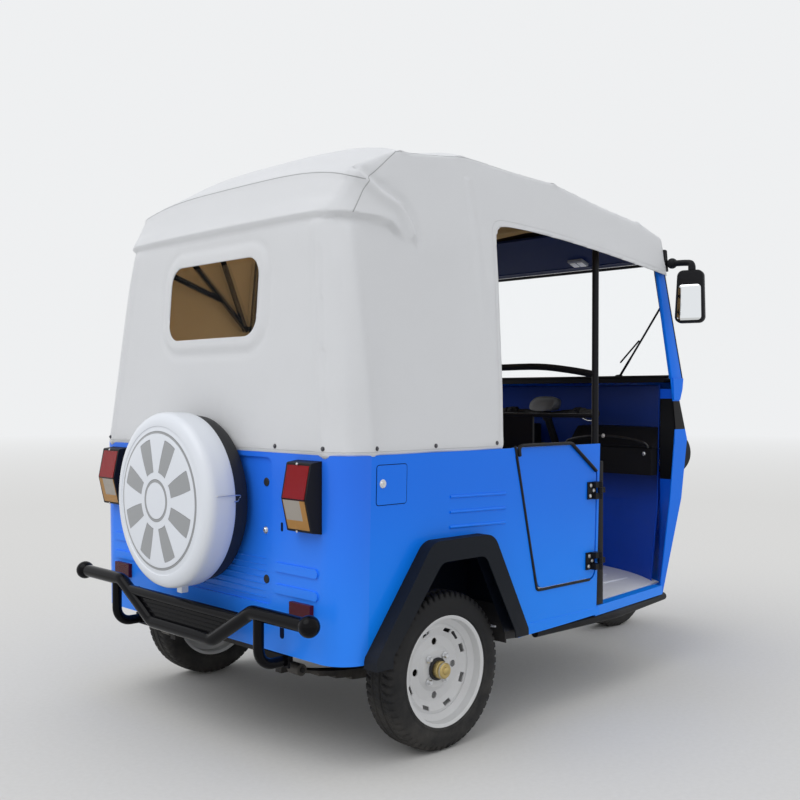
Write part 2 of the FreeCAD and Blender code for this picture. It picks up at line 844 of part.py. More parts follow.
def driver_cushions():
    cushion = box(840, 1150, -230, 230, 600 + seat_gap, 680)
    cushion = cushion.makeFillet(25, [edge for edge in cushion.Edges if abs(edge.tangentAt(0).z) > 0.9])
    back_x = post_x + 6 + seat_gap
    back = box(back_x, back_x + 60, -220, 220, 800, 1010)
    back = back.makeFillet(20, [edge for edge in back.Edges if abs(edge.tangentAt(0).x) > 0.9])
    return Part.makeCompound([cushion, back])


def bench_cushions():
    cushion = box(-215, seat_box_front + 5, -590, 590, deck_height + seat_gap, 735)
    cushion = cushion.makeFillet(30, [edge for edge in cushion.Edges if abs(edge.tangentAt(0).z) > 0.9])
    foot = deck_height + seat_gap
    points = [(-300, foot), (-215 - seat_gap, foot), (-215 - seat_gap, 735), (-255, 1150), (-330, 1150)]
    back = side_slab(points, -560, 560, [5, 5, 20, 25, 25])
    return Part.makeCompound([cushion, back])


# Cab front. Rows are (z, x at the side, x at the middle, half width).

cowl_rows = (
    (296.0, 1360.0, 1560.0, 606.0),
    (665.0, 1470.0, 1700.0, 622.0),
    (900.0, 1512.0, 1762.0, 622.0),
    (1050.0, 1463.0, 1640.0, 618.0),
    (cowl_top, 1436.0, 1476.0, 614.0),
)
inner_rows = (
    (330.0, 1350.0, 1540.0, 560.0),
    (640.0, 1388.0, 1480.0, 566.0),
    (1114.0, 1402.0, 1505.0, 566.0),
    (1117.0, 1398.0, 1424.0, 566.0),
)


def front_plan(z, side_x, middle_x, half, rear, inset):
    half = half - inset
    corner = 60.0
    left = Vec(side_x - inset - corner, half, z)
    right = Vec(side_x - inset - corner, -half, z)
    shoulder = half - corner * 0.6
    edges = [
        Part.LineSegment(Vec(rear, -half, z), right),
        Part.LineSegment(right, Vec(side_x - inset, -shoulder, z)),
        Part.Arc(Vec(side_x - inset, -shoulder, z), Vec(middle_x - inset, 0, z),
                 Vec(side_x - inset, shoulder, z)),
        Part.LineSegment(Vec(side_x - inset, shoulder, z), left),
        Part.LineSegment(left, Vec(rear, half, z)),
        Part.LineSegment(Vec(rear, half, z), Vec(rear, -half, z)),
    ]
    return Part.Wire([edge.toShape() for edge in edges])


def front_loft(rows, inset, rear=1150.0):
    wires = [front_plan(z, side_x, middle_x, half, rear, inset) for z, side_x, middle_x, half in rows]
    return Part.makeLoft(wires, True, True)


def cab_door_edge(gap):
    # The driver's doorway in front, as the outline of what lies behind its front edge.
    return [(1000, 200), (cowl_foot_rear + gap, 200), (cowl_foot_rear + gap, 340), (1368 + gap, 950),
            (1345 + gap, 1145), (1345 + gap, 1300), (1000, 1300)]


def front_cowl():
    outer = front_loft(cowl_rows, 0)
    inner = front_loft(cowl_rows, sheet)
    inner_low = inner.copy()
    inner_low.translate(Vec(0, 0, -5))
    shell = outer.cut(inner).cut(inner_low.common(box(1000, 2000, -560, 560, 0, 700)))
    shell = shell.cut(side_slab(cab_door_edge(0), -900, 900))
    bay = box(1300, 2100, -wheel_bay_half_width, wheel_bay_half_width, 0, nose_foot)
    shell = shell.cut(bay)
    for hole in both_sides(headlamp_rod(headlamp_radius + 1, 1490, 1800)).Solids:
        shell = shell.cut(hole)
    return shell


def inner_front_panel():
    outer = front_loft(inner_rows, 0)
    inner = front_loft(inner_rows, 3.0)
    shell = outer.cut(inner)
    shell = shell.cut(side_slab([(1000, 0), (1340, 0), (1340, 2000), (1000, 2000)], -900, 900))
    passage = rod(axis_point(head_top - 100), axis_point(head_bottom + 100), head_radius + 6)
    return shell.cut(passage)


def dash_console():
    boxes = []
    for name, side in SIDES:
        y0, y1 = sorted((side * 120, side * 552))
        tray = box(1300, 1480, y0, y1, 756, 862)
        tray = tray.common(front_loft(inner_rows, 4.0, 1200.0))
        hollow = box(1306, 1470, y0 + 6, y1 - 6, 790, 880)
        hollow = hollow.common(front_loft(inner_rows, 12.0, 1200.0))
        boxes.append(tray.cut(hollow))
    return Part.makeCompound(boxes)


def screen_x(z):
    return screen_foot_x + (screen_head_x - screen_foot_x) * (z - screen_foot) / (screen_head - screen_foot)


pillar_neck = 1560.0
pillar_top = 1640.0
pillar_neck_x = 1349.0
pillar_top_x = 1333.0


def pillar_face(z):
    # The front face of a pillar's upper end, above its neck.
    return pillar_neck_x + (pillar_top_x - pillar_neck_x) * (z - pillar_neck) / (pillar_top - pillar_neck)


def windscreen_frame():
    pieces = []
    rows = [(cowl_top + seat_gap, pillar_half_width, 1346, 1432),
            (pillar_neck, pillar_head_half_width + 5, 1259, pillar_neck_x),
            (pillar_top, pillar_head_half_width, 1236, pillar_top_x)]
    for name, side in SIDES:
        wires = []
        for z, outer, rear, front in rows:
            y0, y1 = side * (outer - pillar_depth), side * outer
            wires.append(polygon([Vec(rear, y0, z), Vec(front, y0, z), Vec(front, y1, z), Vec(rear, y1, z)]))
        pieces.append(Part.makeLoft(wires, True, True))
    header = [(1246, 1604), (1338, 1604), (pillar_top_x, pillar_top), (1236, pillar_top)]
    pieces.append(side_slab(header, 10 - pillar_head_half_width, pillar_head_half_width - 10))
    top = screen_foot - seat_gap
    sill = [(1362, 1118), (1428, 1118), (1428, top), (1356, top)]
    pieces.append(side_slab(sill, pillar_depth - pillar_half_width - 2, pillar_half_width - pillar_depth + 2))
    panel = [(980, 1706), (1238, 1616), (1240, 1636), (984, 1716)]
    pieces.append(side_slab(panel, -490, 490))
    return fuse(pieces)


def windscreen():
    # The pane fills the space between sill, pillars and header, which narrows upwards.
    wires = []
    for z, half in ((screen_foot, pillar_half_width), (screen_head, pillar_head_half_width + 2)):
        half = half - pillar_depth - 1.5
        x0 = screen_x(z)
        x1 = x0 + screen_thickness
        wires.append(polygon([Vec(x0, -half, z), Vec(x1, -half, z), Vec(x1, half, z), Vec(x0, half, z)]))
    return Part.makeLoft(wires, True, True)


visor_half_width = 500.0
visor_rear = 1306.0
visor_turn = 1362.0
visor_reach = 1458.0
visor_tip_height = 1696.0


def front_visor():
    # A moulded sun visor that lies on the roof's front edge and follows its crown.
    rear_z = crest_height(visor_rear)[0]
    turn_z = crest_height(visor_turn)[0]
    sections = []
    for y in (-visor_half_width, 0.0, visor_half_width):
        drop = roof_crown * abs(y) / seam_half_width - 0.4
        line = [(visor_rear, rear_z), (visor_turn, turn_z), (visor_reach, visor_tip_height),
                (visor_reach + 4, visor_tip_height + 8), (visor_turn + 10, turn_z + 13),
                (visor_rear, rear_z + 8)]
        sections.append(polygon([Vec(x, y, z - drop) for x, z in line]))
    return Part.makeLoft(sections, True, True)


# Lamps, mirrors, wiper

lamp_border = 7.0
lamp_ridge = lamp_head - 105
lens_proud = 2.0
lens_sheet = 12.0


def lamp_line(inset):
    # The lamp's rear face in the side view, from its foot up over the ridge to its head.
    front = body_rear - seat_gap
    return [(front - lamp_depth * 0.62 + inset, lamp_foot + 5), (front - lamp_depth + inset, lamp_ridge),
            (front - lamp_depth * 0.66 + inset, lamp_head - 5)]


def lens_band(gap):
    # The lens as a band along that face, inside the housing's border, grown all round by a gap.
    (x0, z0), ridge, (x2, z2) = lamp_line(-lens_proud)
    outer = [(x0, z0 + lamp_border), ridge, (x2, z2 - lamp_border)]
    inner = [(x + lens_sheet, z) for x, z in reversed(outer)]
    return grown(outer + inner, gap)


def tail_lamps():
    # Housings whose rear face stands out to a ridge at half height, with a pocket for the lens.
    front = body_rear - seat_gap
    outline = [(front, lamp_foot)] + lamp_line(0) + [(front, lamp_head)]
    lamp = side_slab(outline, lamp_inner, lamp_outer, [0, 6, 10, 6, 0])
    border = lamp_border - seat_gap
    pocket = side_slab(lens_band(seat_gap), lamp_inner + border, lamp_outer - border)
    return both_sides(lamp.cut(pocket))


def rear_lamp_lenses():
    lens = side_slab(lens_band(0), lamp_inner + lamp_border, lamp_outer - lamp_border)
    reflector = box(body_rear - 14, body_rear - seat_gap, 458, 553, 432, 480)
    return Part.makeCompound([lens, mirror_y(lens), reflector, mirror_y(reflector)])


headlamp_y = 400.0
headlamp_z = 830.0
headlamp_radius = 85.0
headlamp_front = 1690.0
headlamp_depth = 118.0
glass_rise = 18.0
bezel_radius = 96.0


def headlamp_rod(radius, x0, x1):
    return Part.makeCylinder(radius, x1 - x0, Vec(x0, headlamp_y, headlamp_z), ALONG_X)


def headlamps():
    # A deep bowl closed by a domed glass, seated in its bezel through a round hole in the nose.
    r = headlamp_radius - seat_gap
    back = headlamp_front - headlamp_depth
    dome = (r ** 2 + glass_rise ** 2) / (2 * glass_rise)
    half_way = headlamp_front + glass_rise - dome + math.sqrt(dome ** 2 - (r / 2) ** 2)

    def at(x, radius):
        return Vec(x, headlamp_y, headlamp_z + radius)

    edges = [
        Part.LineSegment(at(back, 0), at(back, r * 0.4)),
        Part.LineSegment(at(back, r * 0.4), at(back + 45, r * 0.8)),
        Part.LineSegment(at(back + 45, r * 0.8), at(headlamp_front - 30, r)),
        Part.LineSegment(at(headlamp_front - 30, r), at(headlamp_front, r)),
        Part.Arc(at(headlamp_front, r), at(half_way, r / 2), at(headlamp_front + glass_rise, 0)),
        Part.LineSegment(at(headlamp_front + glass_rise, 0), at(back, 0)),
    ]
    profile = Part.Wire([edge.toShape() for edge in edges])
    return both_sides(revolve(profile, at(0, 0), ALONG_X))


def headlamp_bezels():
    # A black ring with a turned-in front lip; its foot follows the curve of the nose.
    ring = headlamp_rod(bezel_radius, 1500, headlamp_front + 4)
    ring = ring.cut(headlamp_rod(headlamp_radius, 1490, headlamp_front + 10))
    return both_sides(ring.cut(front_loft(cowl_rows, -seat_gap)))


indicator_radius = 32.0
indicator_z = 690.0
indicator_front = 1640.0


def front_indicators():
    # Small round lamps below the headlamps, whose feet follow the curve of the nose.
    lens = Part.makeCylinder(indicator_radius, indicator_front - 1500, Vec(1500, headlamp_y, indicator_z), ALONG_X)
    lens = lens.makeFillet(8, [edge for edge in lens.Edges if edge.BoundBox.XMin > indicator_front - 1])
    return both_sides(lens.cut(front_loft(cowl_rows, -seat_gap)))


mirror_arm_radius = 10.0
mirror_x = 1345.0
mirror_y_place = -700.0
mirror_foot = 1355.0
mirror_head = 1565.0
mirror_half_width = 61.0
mirror_half_depth = 22.0
mirror_arm_height = 1606.0
mirror_plate_height = 64.0
mirror_plate = 8.0
mirror_clamp = 40.0
mirror_stand = 26.0
glass_border = 9.0


def mirrors():
    # A plate and clamp on the pillar's front face, a bent arm and the housing that hangs from it.
    arm_height = mirror_arm_height
    low = arm_height - mirror_plate_height / 2
    high = arm_height + mirror_plate_height / 2
    back = [(pillar_face(z) + seat_gap, z) for z in (low, high)]
    outline = back + [(x + mirror_plate, z) for x, z in reversed(back)]
    plate = side_slab(outline, -572, -538)
    plate_x = pillar_face(arm_height) + mirror_plate
    clamp = rod(Vec(plate_x - 4, -555, arm_height), Vec(plate_x + mirror_clamp, -555, arm_height), 19)
    arm_x = plate_x + mirror_stand
    path = [Vec(arm_x, -565, arm_height), Vec(arm_x, mirror_y_place, arm_height - 6),
            Vec(mirror_x + 5, mirror_y_place, mirror_head - 20)]
    arm = pipe(path, mirror_arm_radius, 22)
    head = box(mirror_x - mirror_half_depth, mirror_x + mirror_half_depth,
               mirror_y_place - mirror_half_width, mirror_y_place + mirror_half_width, mirror_foot, mirror_head)
    head = head.makeFillet(24, [edge for edge in head.Edges if abs(edge.tangentAt(0).x) > 0.9])
    front_face = [edge for edge in head.Edges if edge.BoundBox.XMin > mirror_x + mirror_half_depth - 1]
    head = head.makeFillet(14, front_face)
    glass = box(mirror_x - mirror_half_depth - 1, mirror_x - mirror_half_depth + 3,
                mirror_y_place - mirror_half_width + glass_border,
                mirror_y_place + mirror_half_width - glass_border,
                mirror_foot + glass_border, mirror_head - 55)
    glass = glass.makeFillet(12, [edge for edge in glass.Edges if abs(edge.tangentAt(0).x) > 0.9])
    return both_sides(fuse([plate, clamp, arm, head]).cut(glass))


def wiper():
    lift = screen_thickness + 5
    pivot = Vec(screen_x(1160) + screen_thickness + 2.2, -370, 1160)
    tip = Vec(screen_x(1430) + lift + 4, -528, 1430)
    pieces = [Part.makeCylinder(11, 14, pivot, ALONG_X)]
    start = Vec(pivot.x + 10, pivot.y, pivot.z)
    pieces.append(rod(start, tip, 4))
    return fuse(pieces)


# Spare wheel on the tail, round the X axis

def spare_carrier():
    # The bracket on the tail and the spare's own rim, bolted to it with its dish to the rear.
    wheel = rim(-rim_width / 2 + 12, disc_offset + rim_thickness + 6)
    wheel.rotate(Vec(0, 0, 0), ALONG_Z, 90)
    wheel.translate(Vec(spare_middle_x, 0, spare_height))
    post_end = spare_middle_x - 6
    plate = box(body_rear - 8, body_rear + tail_pan_depth - seat_gap, -80, 80, spare_height - 80,
                spare_height + 80)
    stem = Part.makeCylinder(46, body_rear - 4 - post_end, Vec(post_end, 0, spare_height), ALONG_X)
    return fuse([plate, stem, wheel])


def spare_tyre():
    shape = tyre()
    shape.rotate(Vec(0, 0, 0), ALONG_Z, 90)
    shape.translate(Vec(spare_middle_x, 0, spare_height))
    return shape


def spare_cover():
    edge = cover_edge_x
    face = cover_face_x
    r = cover_radius
    t = cover_thickness
    z = spare_height
    lip = tyre_radius + seat_gap

    def at(x, radius):
        return Vec(x, 0, z + radius)

    edges = [
        Part.LineSegment(at(edge, r - 2), at(face + 42, r)),
        Part.Arc(at(face + 42, r), at(face + 22, r - 9), at(face + 12, r - 28)),
        Part.LineSegment(at(face + 12, r - 28), at(face, 60)),
        Part.LineSegment(at(face, 60), at(face, 0)),
        Part.LineSegment(at(face, 0), at(face + t, 0)),
        Part.LineSegment(at(face + t, 0), at(face + t, 60)),
        Part.LineSegment(at(face + t, 60), at(face + 12 + t, r - 28)),
        Part.Arc(at(face + 12 + t, r - 28), at(face + 22 + t, r - 11), at(face + 42, r - t)),
        Part.LineSegment(at(face + 42, r - t), at(edge - t, r - 2 - t)),
        Part.LineSegment(at(edge - t, r - 2 - t), at(edge - t, lip)),
        Part.LineSegment(at(edge - t, lip), at(edge, lip)),
        Part.LineSegment(at(edge, lip), at(edge, r - 2)),
    ]
    profile = Part.Wire([e.toShape() for e in edges])
    shell = Part.Face(profile).revolve(Vec(0, 0, z), ALONG_X, 360)
    tab = box(edge - 34, edge - 10, -cover_tab / 2, cover_tab / 2, z - r - 22, z - r + 3)
    return fuse([shell, tab])


# Bumper

def rear_bumper():
    # A bent tube with a dip in the middle, bridged by a straight tube and a flat step plate.
    x = bumper_x
    z = bumper_height
    low = z - bumper_dip
    slope = (dip_top - dip_foot) / bumper_dip
    path = [Vec(x, -bumper_half_width, z), Vec(x, -dip_top, z), Vec(x, -dip_foot, low),
            Vec(x, dip_foot, low), Vec(x, dip_top, z), Vec(x, bumper_half_width, z)]
    pieces = [pipe(path, bumper_radius, bumper_bend)]
    bridge = dip_top - slope * (z - bridge_height)
    pieces.append(rod(Vec(x, -bridge, bridge_height), Vec(x, bridge, bridge_height), bridge_radius))
    foot = low + 4
    foot_half = dip_top - slope * (z - foot)
    corners = [Vec(x - step_plate / 2, y, height) for y, height in (
        (-bridge, bridge_height), (-foot_half, foot), (foot_half, foot), (bridge, bridge_height))]
    pieces.append(slab(polygon(corners), Vec(step_plate, 0, 0)))
    for name, side in SIDES:
        pieces.append(Part.makeSphere(bumper_ball_radius, Vec(x, side * bumper_half_width, z)))
        bar = [Vec(x, side * bracket_place, z - 10), Vec(x, side * bracket_place, bracket_height),
               Vec(rail_rear - 6, side * bracket_place, bracket_height)]
        pieces.append(pipe(bar, bracket_radius, bumper_bend))
        y0, y1 = sorted((side * 280, side * (bracket_place + 25)))
        pieces.append(box(rail_rear - 8, rail_rear - seat_gap, y0, y1, bracket_height - 18, bracket_height + 18))
    return fuse(pieces)


def side_skirts():
    pieces = []
    path = [Vec(440, -body_foot_half_width + 18, body_foot - 34),
            Vec(900, -body_foot_half_width + 18, body_foot - 38),
            Vec(1330, -cowl_foot_half_width + 18, body_foot - 38)]
    pieces.append(pipe(path, 15, 400))
    for x in (560.0, 1000.0):
        pieces.append(rod(Vec(x, -rail_half_spread - rail_width / 2 - seat_gap, rail_top - 30),
                          Vec(x, -body_foot_half_width + 24, body_foot - 36), 8))
    return both_sides(fuse(pieces))


# Doors and hinges, made for the right side and mirrored

hinge_x = door_front + door_gap / 2
hinge_y = -(body_half_width + hinge_pin_out)


def door(side):
    # A hollow pressing: an outer skin and an inner one, closed all round by the folded edge.
    panel = tub_solid(0).cut(tub_solid(door_thickness))
    panel = panel.common(door_slab(0, -900, -500))
    hollow = tub_solid(door_sheet).cut(tub_solid(door_thickness - door_sheet))
    panel = panel.cut(hollow.common(door_slab(-door_fold, -900, -500)))
    return panel if side < 0 else mirror_y(panel)


def hinge_knuckle(z, low, high):
    return rod(Vec(hinge_x, hinge_y, z + low), Vec(hinge_x, hinge_y, z + high), hinge_pin_radius + 4)


def door_hinges(side):
    # The moving leaves: a strap on the door skin with the two outer knuckles.
    pieces = []
    half = hinge_leaf_height / 2
    for z in hinge_heights:
        y_skin = -(body_foot_half_width + (z - body_foot) / (belt_height - body_foot)
                   * (body_half_width - body_foot_half_width)) - seat_gap - 0.9
        strap = box(hinge_x - 56, hinge_x - 8, y_skin - 4, y_skin, z - half, z + half)
        arm = box(hinge_x - 30, hinge_x, hinge_y - 3, y_skin - 1, z - half, z - half / 3)
        arm2 = box(hinge_x - 30, hinge_x, hinge_y - 3, y_skin - 1, z + half / 3, z + half)
        leaf_body = fuse([strap, arm, arm2, hinge_knuckle(z, -half, -half / 3),
                          hinge_knuckle(z, half / 3, half)])
        bore = rod(Vec(hinge_x, hinge_y, z - half - 1), Vec(hinge_x, hinge_y, z + half + 1),
                   hinge_pin_radius + running_gap)
        pieces.append(leaf_body.cut(bore))
    shape = Part.makeCompound(pieces)
    return shape if side < 0 else mirror_y(shape)


def post_hinges():
    # The fixed leaves: the middle knuckle with its pin, and an arm to the door post.
    pieces = []
    half = hinge_leaf_height / 2
    for z in hinge_heights:
        pin = rod(Vec(hinge_x, hinge_y, z - half), Vec(hinge_x, hinge_y, z + half), hinge_pin_radius)
        middle = hinge_knuckle(z, -half / 3 + 0.5, half / 3 - 0.5)
        arm = box(hinge_x, body_front + 10, hinge_y - 3, hinge_y + 6, z - half / 3 + 0.5, z + half / 3 - 0.5)
        web = box(body_front + seat_gap, body_front + 10, hinge_y, -post_y - 22 - seat_gap,
                  z - half / 3 + 0.5, z + half / 3 - 0.5)
        foot = box(body_front + seat_gap, post_x, -post_y - 28, -post_y - 22 - seat_gap, z - half, z + half)
        pieces.append(fuse([pin, middle, arm, web, foot]))
    shape = Part.makeCompound(pieces)
    return Part.makeCompound([shape, mirror_y(shape)])


# Steering parts

def axle_place():
    return Vec(wheelbase, 0, tyre_radius)


def axle_along():
    way = axle_place().sub(axis_point(0))
    lean = math.radians(rake)
    return way.x * math.sin(lean) - way.z * math.cos(lean)


def axle_forward():
    way = axle_place().sub(axis_point(0))
    lean = math.radians(rake)
    return way.x * math.cos(lean) + way.z * math.sin(lean)


def fork():
    forward = axle_forward()
    along = axle_along()
    pieces = [rod(axis_point(18), axis_point(crown_place), stem_radius)]
    pieces.append(rod(axis_point(head_bottom + 6), axis_point(crown_place), head_radius - 3))
    # The crown plate is narrow at the stem and wide at the legs, so that it can turn behind the nose.
    wide = fork_leg_spread + fork_leg_radius + 1
    narrow = head_radius - 1
    crown = [axis_point(crown_place, ahead, across) for ahead, across in (
        (-narrow, -narrow), (forward - fork_leg_radius, -wide), (forward + fork_leg_radius + 5, -wide),
        (forward + fork_leg_radius + 5, wide), (forward - fork_leg_radius, wide), (-narrow, narrow))]
    down = axis_point(crown_place + 18).sub(axis_point(crown_place))
    pieces.append(slab(rounded(crown, [16, 10, 16, 16, 10, 16]), down))
    for name, side in SIDES:
        y = side * fork_leg_spread
        pieces.append(rod(axis_point(crown_place, forward, y), axis_point(along + 20, forward, y),
                          fork_leg_radius))
    axle_half = fork_leg_spread
    pieces.append(rod(Vec(wheelbase, -axle_half, tyre_radius), Vec(wheelbase, axle_half, tyre_radius),
                      axle_pin_radius))
    for name, side in SIDES:
        start = Vec(wheelbase, side * (front_hub_half + 1), tyre_radius)
        pieces.append(rod(start, Vec(wheelbase, side * axle_half, tyre_radius), 24))
    return fuse(pieces)


def handlebar():
    # The clamp sits on the stem; the bar rises a little and its grips sweep back.
    centre = axis_point(0)
    pieces = [rod(axis_point(18 - seat_gap), axis_point(-14), stem_radius + 6)]
    for name, side in SIDES:
        inner = Vec(centre.x, 0, centre.z)
        knee = Vec(centre.x + 6, side * 120, centre.z + 14)
        tip = Vec(centre.x - handlebar_sweep, side * handlebar_half_width, centre.z + 8)
        pieces.append(rod(inner, knee, 11))
        pieces.append(Part.makeSphere(11, knee))
        pieces.append(rod(knee, tip, 11))
        way = tip.sub(knee)
        grip_start = knee.add(Vec(way).multiply(0.42))
        pieces.append(rod(grip_start, tip, 16))
    return fuse(pieces)


def front_mudguard():
    centre = axle_place()
    outer = Part.makeCylinder(mudguard_radius, 2 * mudguard_half_width,
                              Vec(centre.x, -mudguard_half_width, centre.z), ALONG_Y)
    inner = Part.makeCylinder(mudguard_radius - 3, 2 * mudguard_half_width,
                              Vec(centre.x, -mudguard_half_width, centre.z), ALONG_Y)
    ring = outer.cut(inner)
    far = 900.0
    front = math.radians(mudguard_front_angle)
    rear = math.radians(mudguard_rear_angle)
    wedge = polygon([
        Vec(centre.x, -200, centre.z),
        Vec(centre.x + far * math.cos(front), -200, centre.z + far * math.sin(front)),
        Vec(centre.x, -200, centre.z + far),
        Vec(centre.x + far * math.cos(rear), -200, centre.z + far * math.sin(rear)),
    ])
    band = ring.common(slab(wedge, Vec(0, 400, 0)))
    leg = fork_leg_spread
    cut = []
    for name, side in SIDES:
        cut.append(rod(axis_point(crown_place, axle_forward(), side * leg),
                       axis_point(axle_along(), axle_forward(), side * leg), fork_leg_radius + seat_gap))
    return band.cut(Part.makeCompound(cut))


# Origin under the middle of the whole vehicle

front_reach = wheelbase + mudguard_radius * math.cos(math.radians(mudguard_front_angle))
middle_x = (front_reach + cover_face_x) / 2


def main():
    os.makedirs("parts", exist_ok=True)
    shell = canopy_shell()
    nodes = {
        "chassis_frame": chassis_frame(),
        "floor_panel": floor_panel(),
        "side_skirts": side_skirts(),
        "body_side_left": body_side(1),
        "body_side_right": body_side(-1),
        "rear_panel": rear_panel(),
        "seat_box": seat_box(),
        "battery_block": battery_block(),
        "rear_axle": rear_axle(),
        "leaf_springs": leaf_springs(),
        "wheel_arch_flares": wheel_arch_flares(),
        "rear_bumper": rear_bumper(),
        "tail_lamps": tail_lamps(),
        "rear_lamp_lenses": rear_lamp_lenses(),
        "spare_carrier": spare_carrier(),
        "spare_tyre": spare_tyre(),
        "spare_cover": spare_cover(),
        "canopy_body": canopy_body(shell),
        "canopy_roof": canopy_roof(shell),
        "rear_window": rear_window(),
        "canopy_frame": canopy_frame(),
        "partition_frame": partition_frame(),
        "driver_seat_base": driver_seat_base(),
        "driver_cushions": driver_cushions(),
        "bench_cushions": bench_cushions(),
        "front_cowl": front_cowl(),
        "inner_front_panel": inner_front_panel(),
        "dash_console": dash_console(),
        "windscreen_frame": windscreen_frame(),
        "windscreen": windscreen(),
        "front_visor": front_visor(),
        "headlamps": headlamps(),
        "headlamp_bezels": headlamp_bezels(),
        "front_indicators": front_indicators(),
        "mirrors": mirrors(),
        "wiper": wiper(),
        "post_hinges": post_hinges(),
        "fork": fork(),
        "handlebar": handlebar(),
        "front_mudguard": front_mudguard(),
    }
    for name, side in SIDES:
        tyre_shape, rim_shape = rear_wheel(side)
        nodes["tyre_rear_" + name] = tyre_shape
        nodes["rim_rear_" + name] = rim_shape
        nodes["door_" + name] = door(side)
        nodes["door_hinges_" + name] = door_hinges(side)
    nodes["tyre_front"], nodes["rim_front"] = front_wheel()
    for name, shape in nodes.items():
        shape.translate(Vec(-middle_x, 0, 0))
        shape.exportStep("parts/" + name + ".step")
        print(name, len(shape.Solids), shape.isValid(), round(shape.Volume / 1e6, 3))


main()
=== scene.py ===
import json
import math

import bmesh
import bpy
import numpy as np
from mathutils import Matrix, Vector
from mathutils.bvhtree import BVHTree


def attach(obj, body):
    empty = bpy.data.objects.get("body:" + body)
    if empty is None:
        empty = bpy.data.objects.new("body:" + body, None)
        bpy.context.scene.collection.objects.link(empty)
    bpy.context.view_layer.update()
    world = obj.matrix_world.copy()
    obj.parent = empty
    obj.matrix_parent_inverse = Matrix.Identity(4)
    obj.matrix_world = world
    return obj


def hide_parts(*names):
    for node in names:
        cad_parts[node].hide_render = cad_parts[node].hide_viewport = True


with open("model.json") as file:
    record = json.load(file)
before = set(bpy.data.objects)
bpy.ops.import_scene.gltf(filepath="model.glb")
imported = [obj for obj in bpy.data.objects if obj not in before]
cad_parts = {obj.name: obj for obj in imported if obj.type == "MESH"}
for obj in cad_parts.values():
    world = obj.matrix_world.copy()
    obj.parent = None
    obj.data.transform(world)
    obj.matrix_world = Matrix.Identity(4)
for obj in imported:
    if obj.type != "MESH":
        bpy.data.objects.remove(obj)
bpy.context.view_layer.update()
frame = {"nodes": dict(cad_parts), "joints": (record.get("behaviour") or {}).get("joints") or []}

# Vehicle's place. Every length below is in metres from the middle of the rear axle on the
# ground, and along() turns it into the model's own frame.
joints = {joint["name"]: joint for joint in frame["joints"]}
rear_axle_x = joints["rear_left_wheel_spin"]["pos_m"][0]


def along(x):
    return rear_axle_x + x


def place(x, y, z):
    return Vector((rear_axle_x + x, y, z))


# Viewpoint. A plain camera behind the vehicle and to its right, about 1.07 m above the ground,
# with the lens that the vehicle's own proportions ask for.
lens_mm = 46.80
view_from = place(-2.2769, -2.8371, 1.0723)
view_yaw = math.radians(46.142)
view_pitch = math.radians(-0.230)
view_roll = math.radians(0.026)

camera = bpy.data.objects.new("viewpoint", bpy.data.cameras.new("viewpoint"))
bpy.context.scene.collection.objects.link(camera)
camera.data.lens = lens_mm
camera.data.sensor_width = 36.0
camera.data.clip_end = 200.0
camera.matrix_world = (Matrix.Translation(view_from)
                       @ Matrix.Rotation(view_yaw - math.pi / 2, 4, "Z")
                       @ Matrix.Rotation(math.pi / 2 + view_pitch, 4, "X")
                       @ Matrix.Rotation(view_roll, 4, "Z"))
bpy.context.scene.camera = camera
bpy.context.scene.view_settings.view_transform = "Standard"

# Daylight. An even overcast sky with a broad, weak sun from behind and above, so that the roof
# and tail are a little lighter than the side.
sky_colour = (0.97, 0.98, 1.0, 1.0)
sky_level = 0.96
sun_strength = 0.95
sun_from = Vector((-0.55, 0.05, 0.82))
pale_background = (0.86, 0.87, 0.88, 1.0)


def put(tree, kind, inputs=None, **settings):
    # A node with its settings and its inputs, each a plain value or another node's output.
    made = tree.nodes.new(kind)
    for key, value in settings.items():
        setattr(made, key, value)
    for key, value in (inputs or {}).items():
        if isinstance(value, bpy.types.NodeSocket):
            tree.links.new(value, made.inputs[key])
        else:
            made.inputs[key].default_value = value
    return made


world = bpy.data.worlds.new("overcast_sky")
bpy.context.scene.world = world
world.use_nodes = True
world.node_tree.nodes.clear()
sky = put(world.node_tree, "ShaderNodeBackground", {"Color": sky_colour, "Strength": sky_level})
seen = put(world.node_tree, "ShaderNodeBackground", {"Color": pale_background, "Strength": 1.0})
path = put(world.node_tree, "ShaderNodeLightPath")
choice = put(world.node_tree, "ShaderNodeMixShader", {
    0: path.outputs["Is Camera Ray"], 1: sky.outputs[0], 2: seen.outputs[0]})
put(world.node_tree, "ShaderNodeOutputWorld", {"Surface": choice.outputs[0]})

sun = bpy.data.objects.new("sun", bpy.data.lights.new("sun", "SUN"))
bpy.context.scene.collection.objects.link(sun)
sun.data.energy = sun_strength
sun.data.angle = math.radians(50)
sun.rotation_euler = sun_from.to_track_quat("Z", "Y").to_euler()

# Ground. A wide pale floor with a fine speckle. It keeps the shadow and fades into the background
# far away.
floor_half = 60.0
floor_grey = (0.56, 0.555, 0.54, 1.0)
floor_light = (0.62, 0.615, 0.60, 1.0)
fade_start = 7.0
fade_end = 26.0


def new_mesh(name, verts, faces):
    mesh = bpy.data.meshes.new(name)
    mesh.from_pydata([tuple(v) for v in verts], [], [tuple(f) for f in faces])
    mesh.update()
    return mesh


def new_object(name, mesh):
    made = bpy.data.objects.new(name, mesh)
    bpy.context.scene.collection.objects.link(made)
    return made


def calc(tree, operation, *values, **settings):
    # A sum of up to three numbers or outputs.
    return put(tree, "ShaderNodeMath", dict(enumerate(values)), operation=operation, **settings).outputs[0]


